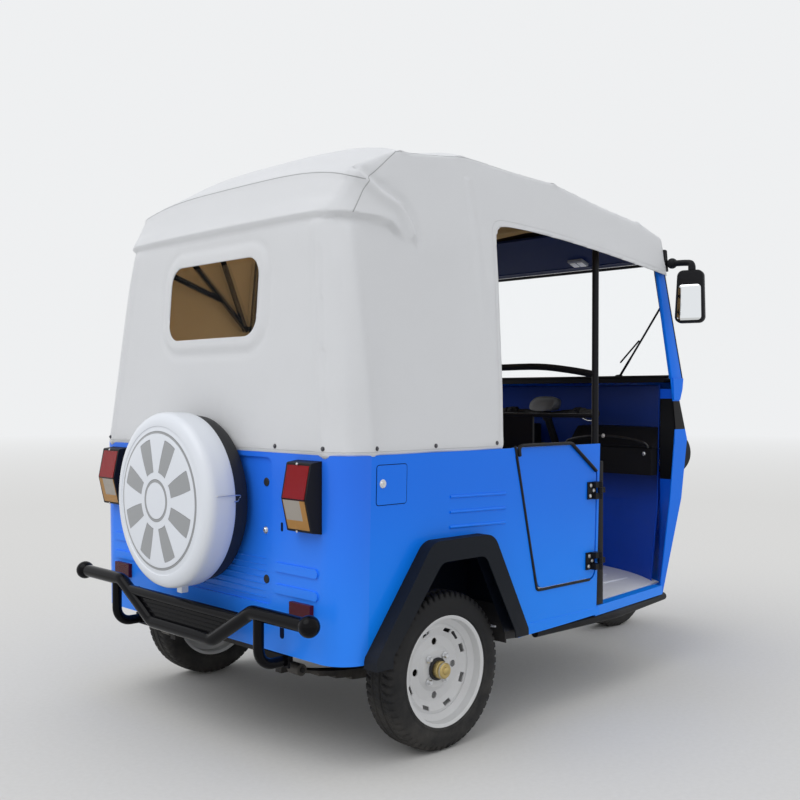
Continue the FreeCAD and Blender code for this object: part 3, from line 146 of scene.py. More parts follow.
ground = new_object("ground", new_mesh("ground", [
    (-floor_half, -floor_half, 0), (floor_half, -floor_half, 0),
    (floor_half, floor_half, 0), (-floor_half, floor_half, 0)], [(0, 1, 2, 3)]))
stone = bpy.data.materials.new("pale_ground")
stone.use_nodes = True
stone.node_tree.nodes.clear()
tree = stone.node_tree
spot = put(tree, "ShaderNodeTexCoord")
distance = put(tree, "ShaderNodeVectorMath", {0: spot.outputs["Object"]}, operation="LENGTH")
fade = put(tree, "ShaderNodeMapRange", {
    "Value": distance.outputs["Value"], "From Min": fade_start, "From Max": fade_end})
speckle = put(tree, "ShaderNodeTexNoise", {"Vector": spot.outputs["Object"], "Scale": 60.0, "Detail": 6.0})
tone = put(tree, "ShaderNodeMix", {
    "Factor": speckle.outputs["Fac"], "A": floor_grey, "B": floor_light}, data_type="RGBA")
flat = put(tree, "ShaderNodeBsdfDiffuse", {"Color": tone.outputs[2]})
glow = put(tree, "ShaderNodeEmission", {"Color": pale_background, "Strength": 1.0})
path = put(tree, "ShaderNodeLightPath")
far = calc(tree, "MULTIPLY", fade.outputs["Result"], path.outputs["Is Camera Ray"])
cover = put(tree, "ShaderNodeMixShader", {0: far, 1: flat.outputs[0], 2: glow.outputs[0]})
put(tree, "ShaderNodeOutputMaterial", {"Surface": cover.outputs[0]})
ground.data.materials.append(stone)

# Frame rails, cross members and steering head. Welded steel in black chassis enamel, with road
# dust that settles on the low parts. The same enamel is on the bows, hinges and partition.
chassis_black = (0.010, 0.010, 0.012, 1.0)
dust_colour = (0.25, 0.23, 0.20, 1.0)


def new_group(name, takes, gives):
    # A shader group with named inputs and outputs.
    tree = bpy.data.node_groups.new(name, "ShaderNodeTree")
    kinds = {"colour": "NodeSocketColor", "number": "NodeSocketFloat", "vector": "NodeSocketVector"}
    for label, kind, value in takes:
        tree.interface.new_socket(label, in_out="INPUT", socket_type=kinds[kind]).default_value = value
    for label, kind in gives:
        tree.interface.new_socket(label, in_out="OUTPUT", socket_type=kinds[kind])
    return tree, put(tree, "NodeGroupInput"), put(tree, "NodeGroupOutput")


def link(tree, output, node, key):
    tree.links.new(output, node.inputs[key])


dust_group, takes, gives = new_group(
    "road_dust",
    [("Colour", "colour", chassis_black), ("Dust", "colour", dust_colour), ("Reach", "number", 0.5),
     ("Amount", "number", 0.4), ("Roughness", "number", 0.4)],
    [("Colour", "colour"), ("Roughness", "number")])
spot = put(dust_group, "ShaderNodeTexCoord")
height = put(dust_group, "ShaderNodeSeparateXYZ", {0: spot.outputs["Object"]})
fall = put(dust_group, "ShaderNodeMapRange", {
    "Value": height.outputs["Z"], "From Min": takes.outputs["Reach"], "From Max": 0.0,
    "To Min": 0.0, "To Max": 1.0})
patches = put(dust_group, "ShaderNodeTexNoise", {
    "Vector": spot.outputs["Object"], "Scale": 9.0, "Detail": 8.0, "Roughness": 0.65})
edge = put(dust_group, "ShaderNodeMapRange", {
    "Value": patches.outputs["Fac"], "From Min": 0.35, "From Max": 0.72})
share = calc(dust_group, "MULTIPLY", fall.outputs["Result"], edge.outputs["Result"])
share = calc(dust_group, "MULTIPLY", share, takes.outputs["Amount"], use_clamp=True)
mixed = put(dust_group, "ShaderNodeMix", {
    "Factor": share, "A": takes.outputs["Colour"], "B": takes.outputs["Dust"]}, data_type="RGBA")
rough = put(dust_group, "ShaderNodeMapRange", {
    "Value": share, "To Min": takes.outputs["Roughness"], "To Max": 0.9})
link(dust_group, mixed.outputs[2], gives, "Colour")
link(dust_group, rough.outputs["Result"], gives, "Roughness")

skin_group, takes, gives = new_group(
    "sprayed_skin",
    [("Colour", "colour", chassis_black), ("Shade", "number", 0.06), ("Grain", "number", 420.0),
     ("Depth", "number", 0.2)],
    [("Colour", "colour"), ("Height", "number")])
spot = put(skin_group, "ShaderNodeTexCoord")
cloud = put(skin_group, "ShaderNodeTexNoise", {"Vector": spot.outputs["Object"], "Scale": 3.2, "Detail": 4.0})
span = calc(skin_group, "SUBTRACT", cloud.outputs["Fac"], 0.5)
span = calc(skin_group, "MULTIPLY", span, takes.outputs["Shade"])
span = calc(skin_group, "ADD", span, 1.0)
tint = put(skin_group, "ShaderNodeVectorMath", {0: takes.outputs["Colour"], 3: span}, operation="SCALE")
peel = put(skin_group, "ShaderNodeTexNoise", {
    "Vector": spot.outputs["Object"], "Scale": takes.outputs["Grain"], "Detail": 2.0})
depth = calc(skin_group, "MULTIPLY", peel.outputs["Fac"], takes.outputs["Depth"])
link(skin_group, tint.outputs[0], gives, "Colour")
link(skin_group, depth, gives, "Height")


def new_finish(name, colour, roughness, shade=0.08, grain=420.0, depth=0.2, step=0.0004,
               dust=0.0, dust_reach=0.5, layers=(), **plain):
    # A surface with its own grain and tone, and dust low down. Each layer is a mask and the colour
    # that it paints over the one before.
    made = bpy.data.materials.new(name)
    made.use_nodes = True
    tree = made.node_tree
    shader = tree.nodes["Principled BSDF"]
    for key, value in plain.items():
        shader.inputs[key.replace("_", " ")].default_value = value
    skin = put(tree, "ShaderNodeGroup", {}, node_tree=skin_group)
    skin.inputs["Colour"].default_value = colour
    for mask, second in layers:
        painted = put(tree, "ShaderNodeMix", {
            "Factor": mask(tree), "A": colour, "B": second}, data_type="RGBA")
        colour = painted.outputs[2]
    if layers:
        link(tree, colour, skin, "Colour")
    skin.inputs["Shade"].default_value = shade
    skin.inputs["Grain"].default_value = grain
    skin.inputs["Depth"].default_value = depth
    low = put(tree, "ShaderNodeGroup", {}, node_tree=dust_group)
    link(tree, skin.outputs["Colour"], low, "Colour")
    low.inputs["Reach"].default_value = dust_reach
    low.inputs["Amount"].default_value = dust
    low.inputs["Roughness"].default_value = roughness
    link(tree, low.outputs["Colour"], shader, "Base Color")
    link(tree, low.outputs["Roughness"], shader, "Roughness")
    bump = put(tree, "ShaderNodeBump", {"Distance": step, "Height": skin.outputs["Height"]})
    link(tree, bump.outputs["Normal"], shader, "Normal")
    return made


def dress(material, *nodes):
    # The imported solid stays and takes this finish.
    for name in nodes:
        for socket in frame["nodes"][name].material_slots:
            socket.material = material


chassis_enamel = new_finish("chassis_enamel", chassis_black, 0.34, shade=0.5, grain=260.0, dust=0.5,
                            dust_reach=0.45, Specular_IOR_Level=0.10)
dress(chassis_enamel, "chassis_frame", "spare_carrier", "canopy_frame",
      "driver_seat_base", "fork", "post_hinges", "door_hinges_left", "door_hinges_right")

# Rear axle and leaf springs. Cast and forged iron, bare and dull under road dust. The springs are
# clamped on the axle and hang from the rails.
axle_iron = new_finish("axle_iron", (0.045, 0.043, 0.042, 1.0), 0.62, shade=0.8, grain=150.0, depth=0.8,
                       step=0.0012, dust=0.8, dust_reach=0.6, Metallic=0.55)
dress(axle_iron, "rear_axle", "leaf_springs")

# Battery. A sealed pack in a plain black moulded case, which stands in the tub under the bench
# and is closed in by the seat box.
battery_case = new_finish("battery_case", (0.02, 0.02, 0.02, 1.0), 0.5, shade=0.3, grain=300.0, depth=0.5)
dress(battery_case, "battery_block")

# Floor. Pressed steel sheet in light grey enamel, a little dusty, on the rails and cross members.
# Two rows of raised ribs are pressed along it for grip.
floor_level = 0.330
floor_enamel = new_finish("floor_enamel", (0.86, 0.89, 0.94, 1.0), 0.42, shade=0.2, grain=120.0, depth=0.5,
                          dust=0.12, dust_reach=1.1)
dress(floor_enamel, "floor_panel")
rib_starts = (0.34, 0.87)
rib_spacing = 0.105
rib_length = 0.46
rib_half_width = 0.011
rib_rise = 0.005


def make(name, shells, material, body, sharp=35.0):
    # One piece from several (points, faces) shells, closed, facing outwards and smooth but for
    # edges sharper than the angle. It rides on its body and takes the given finish.
    bm = bmesh.new()
    for verts, faces in shells:
        made = [bm.verts.new(v) for v in verts]
        for face in faces:
            loop = [made[i] for i in face]
            if len(set(loop)) == len(loop) and len(loop) > 2:
                bm.faces.new(loop)
    bmesh.ops.remove_doubles(bm, verts=bm.verts, dist=2e-6)
    bmesh.ops.recalc_face_normals(bm, faces=bm.faces)
    mesh = bpy.data.meshes.new(name)
    bm.to_mesh(mesh)
    bm.free()
    mesh.shade_smooth()
    mesh.set_sharp_from_angle(angle=math.radians(sharp))
    mesh.materials.append(material)
    piece = new_object(name, mesh)
    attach(piece, body)
    return piece


def grid_faces(rows, columns, ring_rows=False, ring_columns=False):
    # Quads of a grid of points, row by row. A ring joins its last row or column to its first.
    faces = []
    for i in range(rows if ring_rows else rows - 1):
        below = (i + 1) % rows
        for j in range(columns if ring_columns else columns - 1):
            beside = (j + 1) % columns
            faces.append((i * columns + j, i * columns + beside,
                          below * columns + beside, below * columns + j))
    return faces


def smooth_line(points, steps):
    # Points on a soft curve through the given ones.
    points = [Vector(p) for p in points]
    line = []
    for i in range(len(points) - 1):
        p0 = points[max(i - 1, 0)]
        p1, p2 = points[i], points[i + 1]
        p3 = points[min(i + 2, len(points) - 1)]
        for k in range(steps):
            t = k / steps
            line.append(0.5 * (2 * p1 + (p2 - p0) * t + (2 * p0 - 5 * p1 + 4 * p2 - p3) * t ** 2
                               + (3 * p1 - p0 - 3 * p2 + p3) * t ** 3))
    return line + [points[-1]]


def bar(line, radius, sides=12, flat=1.0, up=Vector((0, 0, 1)), ends=True):
    # A bar swept along a line, round or flattened across it, with a domed end at either side.
    count = len(line)
    if not hasattr(radius, "__len__"):
        radius = [radius] * count
    rows = []
    for i, p in enumerate(line):
        way = (line[min(i + 1, count - 1)] - line[max(i - 1, 0)]).normalized()
        across = way.cross(up)
        if across.length < 0.02:
            across = way.cross(Vector((1, 0, 0.3)))
        across.normalize()
        over = across.cross(way)
        rows.append((p, way, across, over, radius[i]))
    if ends:
        p, way, across, over, r = rows[0]
        rows.insert(0, (p - way * r * 0.5, way, across, over, r * 0.6))
        rows.insert(0, (rows[0][0] - way * r * 0.15, way, across, over, 1e-7))
        p, way, across, over, r = rows[-1]
        rows.append((p + way * r * 0.5, way, across, over, r * 0.6))
        rows.append((rows[-1][0] + way * r * 0.15, way, across, over, 1e-7))
    verts = []
    for p, way, across, over, r in rows:
        for k in range(sides):
            a = 2 * math.pi * k / sides
            verts.append(p + across * math.cos(a) * r + over * math.sin(a) * r * flat)
    return verts, grid_faces(len(rows), sides, ring_columns=True)


floor_ribs = []
for lane in range(-4, 5):
    for x in rib_starts:
        line = [place(x + rib_length * k / 12, lane * rib_spacing, floor_level + 0.0004) for k in range(13)]
        size = [rib_half_width * math.sin(math.pi * (k + 0.6) / 13.2) ** 0.35 for k in range(13)]
        floor_ribs.append(bar(line, size, sides=10, flat=rib_rise / rib_half_width, ends=False))
make("floor_ribs", floor_ribs, floor_enamel, "vehicle", sharp=60.0)

# Pressed steel tub. Blue two-pack paint with a soft gloss, a little dusty along the bottom.
# The sides carry a filler flap behind each arch's top, hinged in front, with a turned lock.
# The wheelhouses are painted over with black underseal.
body_colour = (0.003, 0.235, 0.97, 1.0)
# The deeper blues are the same paints darkened towards the belt, a painted shade.
body_shaded_blue = (0.002, 0.165, 0.84, 1.0)
tail_colour = (0.020, 0.235, 0.97, 1.0)
tail_shaded_blue = (0.020, 0.165, 0.84, 1.0)
underseal = (0.004, 0.006, 0.012, 1.0)


def soft_step(tree, value, low, high):
    # Zero below one value and one above the other, with a soft rise between them.
    made = put(tree, "ShaderNodeMapRange", {"Value": value, "From Min": low, "From Max": high},
               interpolation_type="SMOOTHSTEP")
    return made.outputs["Result"]


def times(tree, a, b):
    return calc(tree, "MULTIPLY", a, b)


def larger(tree, a, b):
    return calc(tree, "MAXIMUM", a, b)


def band(tree, value, low, high, soft):
    # One between two values, with soft edges.
    return times(tree, soft_step(tree, value, low - soft, low + soft),
                 soft_step(tree, value, high + soft, high - soft))


def spot_on(tree):
    # Where a point is on the piece: ahead, sideways from the middle, and up.
    spot = put(tree, "ShaderNodeTexCoord")
    parts = put(tree, "ShaderNodeSeparateXYZ", {0: spot.outputs["Object"]})
    return parts.outputs["X"], calc(tree, "ABSOLUTE", parts.outputs["Y"]), parts.outputs["Z"]


def sill_to_belt_shade_mask(tree):
    # Painted shade: the blue darkens from the sill to the belt.
    x, y, z = spot_on(tree)
    return soft_step(tree, z, 0.34, 0.86)


def beyond(tree, x, z, x0, z0, out_x, out_z):
    # How far a point is beyond a line through (x0, z0), along the way out from it.
    ahead = calc(tree, "MULTIPLY_ADD", x, out_x, -along(x0) * out_x - z0 * out_z)
    return calc(tree, "MULTIPLY_ADD", z, out_z, ahead)


def wheelhouse_mask(tree):
    # The inside, and the strip that the arch lip covers: below its three edges.
    x, y, z = spot_on(tree)
    inside = times(tree, soft_step(tree, y, 0.668, 0.666),
                   times(tree, soft_step(tree, x, along(0.30), along(0.29)), soft_step(tree, z, 0.90, 0.88)))
    away = beyond(tree, x, z, 0.0, 0.632, 0.0, 1.0)
    for x0, z0, out_x, out_z in ((0.150, 0.635, 0.8844, 0.4667), (-0.105, 0.635, -0.8035, 0.5953)):
        away = larger(tree, away, beyond(tree, x, z, x0, z0, out_x, out_z))
    return larger(tree, inside, soft_step(tree, away, 0.0005, -0.0005))


two_pack = dict(shade=0.08, grain=520.0, depth=0.12, step=0.0003, dust=0.04, dust_reach=0.50)
soft_gloss = dict(Specular_IOR_Level=0.20, Coat_Weight=0.12, Coat_Roughness=0.05)
body_paint = new_finish("body_paint", body_colour, 0.36,
                        layers=[(sill_to_belt_shade_mask, body_shaded_blue), (wheelhouse_mask, underseal)],
                        **two_pack, **soft_gloss)
dress(body_paint, "body_side_left", "body_side_right", "door_left", "door_right")
tail_paint = new_finish("tail_paint", tail_colour, 0.36, layers=[(sill_to_belt_shade_mask, tail_shaded_blue)],
                        **two_pack, **soft_gloss)
dress(tail_paint, "rear_panel")
side_foot_y = 0.674
side_belt_y = 0.690
side_foot_z = 0.318
side_belt_z = 0.905
flap_corner = 0.008
flap_rise = 0.0016
flap_gap = 0.0022
lock_place = (-0.280, 0.824)


def side_y(z):
    # How far out the tub's side stands at a height.
    return side_foot_y + (side_belt_y - side_foot_y) * (z - side_foot_z) / (side_belt_z - side_foot_z)


def rectangle(u0, u1, v0, v1):
    return (u0, v0), (u1, v0), (u1, v1), (u0, v1)


def round_outline(corners, radius, steps=5):
    # A flat outline with each corner turned into an arc.
    outline = []
    for i, corner in enumerate(corners):
        c = Vector(corner)
        before = (Vector(corners[i - 1]) - c).normalized()
        after = (Vector(corners[(i + 1) % len(corners)]) - c).normalized()
        half = math.acos(max(-1, min(1, before.dot(after)))) / 2
        back = radius / math.tan(half)
        middle = c + (before + after).normalized() * radius / math.sin(half)
        start = c + before * back - middle
        end = c + after * back - middle
        turn = start.angle_signed(end)
        for k in range(steps + 1):
            a = -turn * k / steps
            outline.append(middle + Matrix.Rotation(a, 2) @ start)
    return outline


def grown_outline(outline, gap):
    # The outline moved outwards by a gap, whichever way it runs.
    centre = sum(outline, Vector((0, 0))) / len(outline)
    grown = []
    for i, p in enumerate(outline):
        way = (outline[(i + 1) % len(outline)] - outline[i - 1]).normalized()
        out = Vector((way.y, -way.x))
        if out.dot(p - centre) < 0:
            out = -out
        grown.append(p + out * gap)
    return grown


def slab(outline, lift, rows):
    # A plate from one outline: rows are (inset, height) steps that lift() sets in space.
    verts = []
    for inset, height in rows:
        ring = grown_outline(outline, -inset)
        verts += [lift(p, height) for p in ring]
    count = len(outline)
    faces = grid_faces(len(rows), count, ring_columns=True)
    faces.append(tuple(range(count - 1, -1, -1)))
    faces.append(tuple(range((len(rows) - 1) * count, len(rows) * count)))
    return verts, faces


# A valance carries each side down to its skirt. A rubber flap closes the front of each wheelhouse,
# with a cheek along the tub's side.
valance_out = 0.6755
cheek_out = 0.6705
flap_x = 0.2790
sill_edge = [Vector(p) for p in (
    (0.328, 0.326), (0.328, 0.2885), (0.560, 0.2945), (0.776, 0.3025), (0.776, 0.326))]
cheek_edge = [Vector(p) for p in (
    (0.272, 0.292), (0.334, 0.288), (0.334, 0.326), (0.310, 0.400), (0.272, 0.400))]
flap_edge = [Vector(p) for p in rectangle(0.440, 0.670, 0.280, 0.400)]
flap_rows = [(0, 0), (0, 0.003), (0.001, 0.004)]
valances = []
for side in (-1, 1):
    valances.append(slab(sill_edge,
                         lambda p, height, side=side: place(p.x, side * (valance_out + height), p.y),
                         [(0, -0.0035), (0, -0.0005), (0.0006, 0)]))
splash_flaps = [slab([Vector((side * p.x, p.y)) for p in flap_edge],
                     lambda p, height: place(flap_x - height, p.x, p.y), flap_rows) for side in (-1, 1)]
splash_flaps += [slab(cheek_edge, lambda p, height, side=side: place(p.x, side * (cheek_out - height), p.y),
                      flap_rows) for side in (-1, 1)]
splash_rubber = new_finish("splash_rubber", chassis_black, 0.7, shade=0.3, grain=500.0,
                           depth=0.8, dust=0.3, dust_reach=0.5)
make("splash_flaps", splash_flaps, splash_rubber, "vehicle", sharp=30.0)
make("sill_valances", valances, body_paint, "vehicle", sharp=30.0)
gap_shadow = new_finish("gap_shadow", (0.002, 0.006, 0.03, 1.0), 0.8, shade=0.2, Specular_IOR_Level=0.1)
flaps = []
flap_gaps = []
for side in (-1, 1):
    outline = round_outline(rectangle(-0.302, -0.186, 0.764, 0.876), flap_corner)

    def on_side(p, height, side=side):
        return place(p.x, side * (side_y(p.y) + height), p.y)

    flaps.append(slab(outline, on_side, [(0, -0.002), (0, flap_rise - 0.0005), (0.0006, flap_rise)]))
    flap_gaps.append(slab(grown_outline(outline, flap_gap), on_side, [(0, -0.002), (0, 0.0005)]))
make("filler_flaps", flaps, body_paint, "vehicle")
make("filler_flap_gaps", flap_gaps, gap_shadow, "vehicle")


def lathe(profile, centre, axis, steps=32, ring=False):
    # A profile of (distance along the axis, radius) turned round the axis.
    axis = Vector(axis).normalized()
    side = axis.orthogonal().normalized()
    up = axis.cross(side)
    verts = []
    for forward, radius in profile:
        for k in range(steps):
            a = 2 * math.pi * k / steps
            verts.append(Vector(centre) + axis * forward
                         + (side * math.cos(a) + up * math.sin(a)) * max(radius, 1e-7))
    return verts, grid_faces(len(profile), steps, ring_rows=ring, ring_columns=True)


bright_zinc = new_finish("bright_zinc", (0.72, 0.73, 0.74, 1.0), 0.28, shade=0.2, grain=900.0, depth=0.2,
                         Metallic=0.9)
lock_profile = [(-0.002, 0), (-0.002, 0.0125), (0.001, 0.0125), (0.0022, 0.011), (0.0022, 0.0085),
                (0.0036, 0.0078), (0.0036, 0.0022), (0.0018, 0.0022), (0.0018, 0)]
locks = []
for side in (-1, 1):
    centre = place(lock_place[0], side * (side_y(lock_place[1]) + flap_rise), lock_place[1])
    locks.append(lathe(lock_profile, centre, (0, side, 0), 24))
make("filler_flap_locks", locks, bright_zinc, "vehicle", sharp=30.0)

# Tail. The sunk middle panel has shallow ribs pressed across it below the spare wheel, rubber
# plugs in its tooling holes and two bolts. A slot is punched beside each lamp and one low down.
pan_x = -0.412
tail_x = -0.420
pan_rib_heights = [0.470 + 0.0195 * k for k in range(7)]
pan_rib_reach = 0.318
tail_ribs = []
for z in pan_rib_heights:
    line = [place(pan_x + 0.0008, pan_rib_reach * (k / 10 - 1), z) for k in range(21)]
    size = [0.0042 * math.sin(math.pi * (k + 0.5) / 21) ** 0.25 for k in range(21)]
    tail_ribs.append(bar(line, size, sides=8, ends=False))
make("tail_panel_ribs", tail_ribs, tail_paint, "vehicle", sharp=60.0)
plug_rubber = new_finish("plug_rubber", chassis_black, 0.6, shade=0.3, grain=700.0, depth=0.6)
plug_profile = [(-0.004, 0), (-0.004, 0.0125), (0.0012, 0.0130), (0.0030, 0.0112), (0.0036, 0.0060),
                (0.0030, 0)]
plug_y = 0.322
plug_heights = (0.815, 0.525)
slot_y = 0.407
bolt_y, bolt_height = 0.318, 0.671
plugs = []
slots = []
for side in (-1, 1):
    for z in plug_heights:
        plugs.append(lathe(plug_profile, place(pan_x, side * plug_y, z), (-1, 0, 0), 24))
    for half, foot, top, corner in ((0.005, 0.676, 0.702, 0.003), (0.010, 0.362, 0.408, 0.008)):
        hole = round_outline(rectangle(side * slot_y - half, side * slot_y + half, foot, top), corner)
        slots.append(slab(hole, lambda p, height: place(tail_x - height, p.x, p.y),
                          [(0, -0.001), (0, 0.0004)]))
make("tail_plugs", plugs, plug_rubber, "vehicle")
make("tail_slots", slots, gap_shadow, "vehicle")

# Bolts and buttons. Each set is one shape laid out on marked places, turned to face outwards: a
# hexagon or round head with a chamfer, on a thin washer.
heads_tree = bpy.data.node_groups.new("bolt_heads", "GeometryNodeTree")
for label, kind, value in (("Geometry", "NodeSocketGeometry", None), ("Radius", "NodeSocketFloat", 0.006),
                           ("Height", "NodeSocketFloat", 0.005), ("Sides", "NodeSocketInt", 6),
                           ("Washer", "NodeSocketFloat", 0.009), ("Finish", "NodeSocketMaterial", None)):
    socket = heads_tree.interface.new_socket(label, in_out="INPUT", socket_type=kind)
    if value is not None:
        socket.default_value = value
heads_tree.interface.new_socket("Geometry", in_out="OUTPUT", socket_type="NodeSocketGeometry")
takes = put(heads_tree, "NodeGroupInput")
gives = put(heads_tree, "NodeGroupOutput")
shank = put(heads_tree, "GeometryNodeMeshCylinder", {
    "Vertices": takes.outputs["Sides"], "Radius": takes.outputs["Radius"], "Depth": takes.outputs["Height"]})
crown_radius = times(heads_tree, takes.outputs["Radius"], 0.72)
crown_height = times(heads_tree, takes.outputs["Height"], 0.28)
crown_place = put(heads_tree, "ShaderNodeCombineXYZ", {"Z": times(heads_tree, takes.outputs["Height"], 0.5)})
crown = put(heads_tree, "GeometryNodeMeshCone", {
    "Vertices": takes.outputs["Sides"], "Radius Top": crown_radius,
    "Radius Bottom": takes.outputs["Radius"], "Depth": crown_height})
crown = put(heads_tree, "GeometryNodeTransform", {
    "Geometry": crown.outputs["Mesh"], "Translation": crown_place.outputs[0]})
washer = put(heads_tree, "GeometryNodeMeshCylinder", {
    "Vertices": 20, "Radius": takes.outputs["Washer"], "Depth": 0.0022})
head = put(heads_tree, "GeometryNodeJoinGeometry")
for part in (washer.outputs["Mesh"], crown.outputs["Geometry"], shank.outputs["Mesh"]):
    heads_tree.links.new(part, head.inputs[0])
facing = put(heads_tree, "GeometryNodeInputNamedAttribute", {"Name": "facing"}, data_type="FLOAT_VECTOR")
facing_out = [output for output in facing.outputs if output.type == "VECTOR"][0]
turn = put(heads_tree, "FunctionNodeAlignEulerToVector", {"Vector": facing_out}, axis="Z")
laid = put(heads_tree, "GeometryNodeInstanceOnPoints", {
    "Points": takes.outputs["Geometry"], "Instance": head.outputs[0], "Rotation": turn.outputs[0]})
real = put(heads_tree, "GeometryNodeRealizeInstances", {"Geometry": laid.outputs[0]})
finished = put(heads_tree, "GeometryNodeSetMaterial", {
    "Geometry": real.outputs[0], "Material": takes.outputs["Finish"]})
link(heads_tree, finished.outputs[0], gives, "Geometry")
socket_of = {item.name: item.identifier for item in heads_tree.interface.items_tree if item.in_out == "INPUT"}


def applied(thing, name):
    # The object's modifiers worked into a plain mesh; the object goes.
    mesh = bpy.data.meshes.new_from_object(thing.evaluated_get(bpy.context.evaluated_depsgraph_get()))
    bpy.data.objects.remove(thing)
    mesh.name = name
    return mesh


def set_heads(name, places, material, body, radius=0.006, height=0.005, sides=6, washer=0.009):
    # Heads at (point, outward way) places.
    mesh = new_mesh(name + "_places", [p for p, way in places], [])
    facing = mesh.attributes.new("facing", "FLOAT_VECTOR", "POINT")
    for i, (p, way) in enumerate(places):
        facing.data[i].vector = Vector(way).normalized()
    thing = new_object(name + "_places", mesh)
    lay = thing.modifiers.new("lay", "NODES")
    lay.node_group = heads_tree
    for label, value in (("Radius", radius), ("Height", height), ("Sides", sides), ("Washer", washer),
                         ("Finish", material)):
        lay[socket_of[label]] = value
    bpy.context.view_layer.update()
    mesh = applied(thing, name)
    mesh.shade_smooth()
    mesh.set_sharp_from_angle(angle=math.radians(30))
    piece = new_object(name, mesh)
    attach(piece, body)
    return piece


set_heads("tail_bolts", [(place(pan_x, side * bolt_y, bolt_height), (-1, 0, 0)) for side in (-1, 1)],
          bright_zinc, "vehicle", radius=0.0075, height=0.009, washer=0.011)

# Wheel arch lips. Flexible rubber moulding in near black with a soft bloom, screwed on from inside
# round each arch.
flare_rubber = new_finish("flare_rubber", (0.0075, 0.0100, 0.015, 1.0), 0.60, shade=0.25, grain=700.0,
                          depth=0.8, step=0.0005, dust=0.12, dust_reach=0.5, Specular_IOR_Level=0.14)
dress(flare_rubber, "wheel_arch_flares")

# Doors. Each half door shuts on a black rubber seal round its opening and has a black edge trim
# along its top. Three bolts hold each leaf of its strap hinges.
seal_radius = 0.0048
seal_corners = ((0.3035, 0.890), (0.342, 0.743), (0.380, 0.598), (0.4185, 0.452), (0.426, 0.436),
                (0.440, 0.4305), (0.520, 0.4305), (0.620, 0.4305), (0.715, 0.4305))
trim_radius = 0.0056
trim_corners = ((0.3165, 0.880), (0.3135, 0.900), (0.322, 0.9105), (0.350, 0.912), (0.450, 0.912),
                (0.560, 0.912), (0.590, 0.9105), (0.606, 0.900), (0.670, 0.856), (0.735, 0.811))
hinge_heights = (0.497, 0.743)
seal_rubber = new_finish("seal_rubber", (0.006, 0.006, 0.007, 1.0), 0.55, shade=0.3, grain=600.0, depth=0.6,
                         Specular_IOR_Level=0.3)
for side, label in ((-1, "right"), (1, "left")):
    door_body = "door_%s_body" % label
    seal_line = [place(0.298, side * (side_y(0.905) + 0.0005), 0.909)]
    seal_line += [place(x, side * (side_y(z) + 0.0005), z) for x, z in seal_corners]
    seal = bar(smooth_line(seal_line, 4), seal_radius, sides=10, up=Vector((0, 1, 0)))
    make("door_seal_" + label, [seal], seal_rubber, "vehicle", sharp=60.0)
    trim_line = [place(x, side * (side_y(z) + 0.0045), z) for x, z in trim_corners]
    trim = bar(smooth_line(trim_line, 4), trim_radius, sides=10, flat=1.3, up=Vector((0, 1, 0)))
    make("door_trim_" + label, [trim], seal_rubber, door_body, sharp=60.0)
    bolts = []
    for z in hinge_heights:
        for x, dz in ((0.706, 0.018), (0.722, 0.0), (0.702, -0.018)):
            bolts.append((place(x, side * (side_y(z) + 0.0062), z + dz), (0, side, 0)))
    set_heads("hinge_bolts_" + label, bolts, bright_zinc, door_body, radius=0.0052, height=0.0045,
              washer=0.0070)

# Inner panels, seat box and dash panel. The body's blue painted darker, a painted shade, plain satin,
# with underseal on the seat box's wheelhouse side.
# Both blues are the body's paint darkened, a painted shade.
inner_shaded_blue = (0.003, 0.060, 0.52, 1.0)
inner_shade_colour = (0.004, 0.030, 0.22, 1.0)


def inner_belt_shade_mask(tree):
    # Painted shade: the panels darken towards the belt.
    x, y, z = spot_on(tree)
    return soft_step(tree, z, 0.62, 0.82)


def underside_mask(tree):
    # The seat box behind its front sheet and under its deck.
    x, y, z = spot_on(tree)
    return times(tree, soft_step(tree, x, along(0.2838), along(0.2826)), soft_step(tree, z, 0.604, 0.602))


inner_paint = new_finish("inner_paint", inner_shaded_blue, 0.45, shade=0.3, grain=300.0,
                         layers=[(inner_belt_shade_mask, inner_shade_colour), (underside_mask, underseal)],
                         Specular_IOR_Level=0.12)
dress(inner_paint, "seat_box", "inner_front_panel")

# Bumper. Bent steel tube and a flat step plate in deep gloss black, on two bent brackets. The
# plate has pressed grip lines; each bracket foot is bolted to the frame.
bumper_gloss = new_finish("bumper_gloss", (0.003, 0.003, 0.004, 1.0), 0.10, shade=0.3, grain=90.0,
                          depth=0.15, Specular_IOR_Level=0.10)
dress(bumper_gloss, "rear_bumper")
grip_lines = []
for z, half in ((0.366, 0.205), (0.379, 0.225), (0.392, 0.245)):
    line = [place(-0.5072, half * (k / 8 - 1), z) for k in range(17)]
    grip_lines.append(bar(line, 0.0022, sides=8))
make("step_plate_lines", grip_lines, bumper_gloss, "vehicle", sharp=60.0)
bracket_bolts = [(place(tail_x, side * 0.310, z), (-1, 0, 0)) for side in (-1, 1) for z in (0.290, 0.304)]
set_heads("bumper_bolts", bracket_bolts, bright_zinc, "vehicle", radius=0.006, height=0.006)

# Skirts. Rounded black plastic moulding, clipped under each sill. The dash trays, the visor, the
# mudguard and the lamp housings are of the same plastic.
black_plastic = new_finish("black_plastic", chassis_black, 0.46, shade=0.3, grain=900.0,
                           depth=0.7, step=0.0004, dust=0.1, dust_reach=0.4, Specular_IOR_Level=0.12)
dress(black_plastic, "side_skirts", "dash_console", "front_visor", "handlebar", "tail_lamps",
      "headlamp_bezels", "front_mudguard")

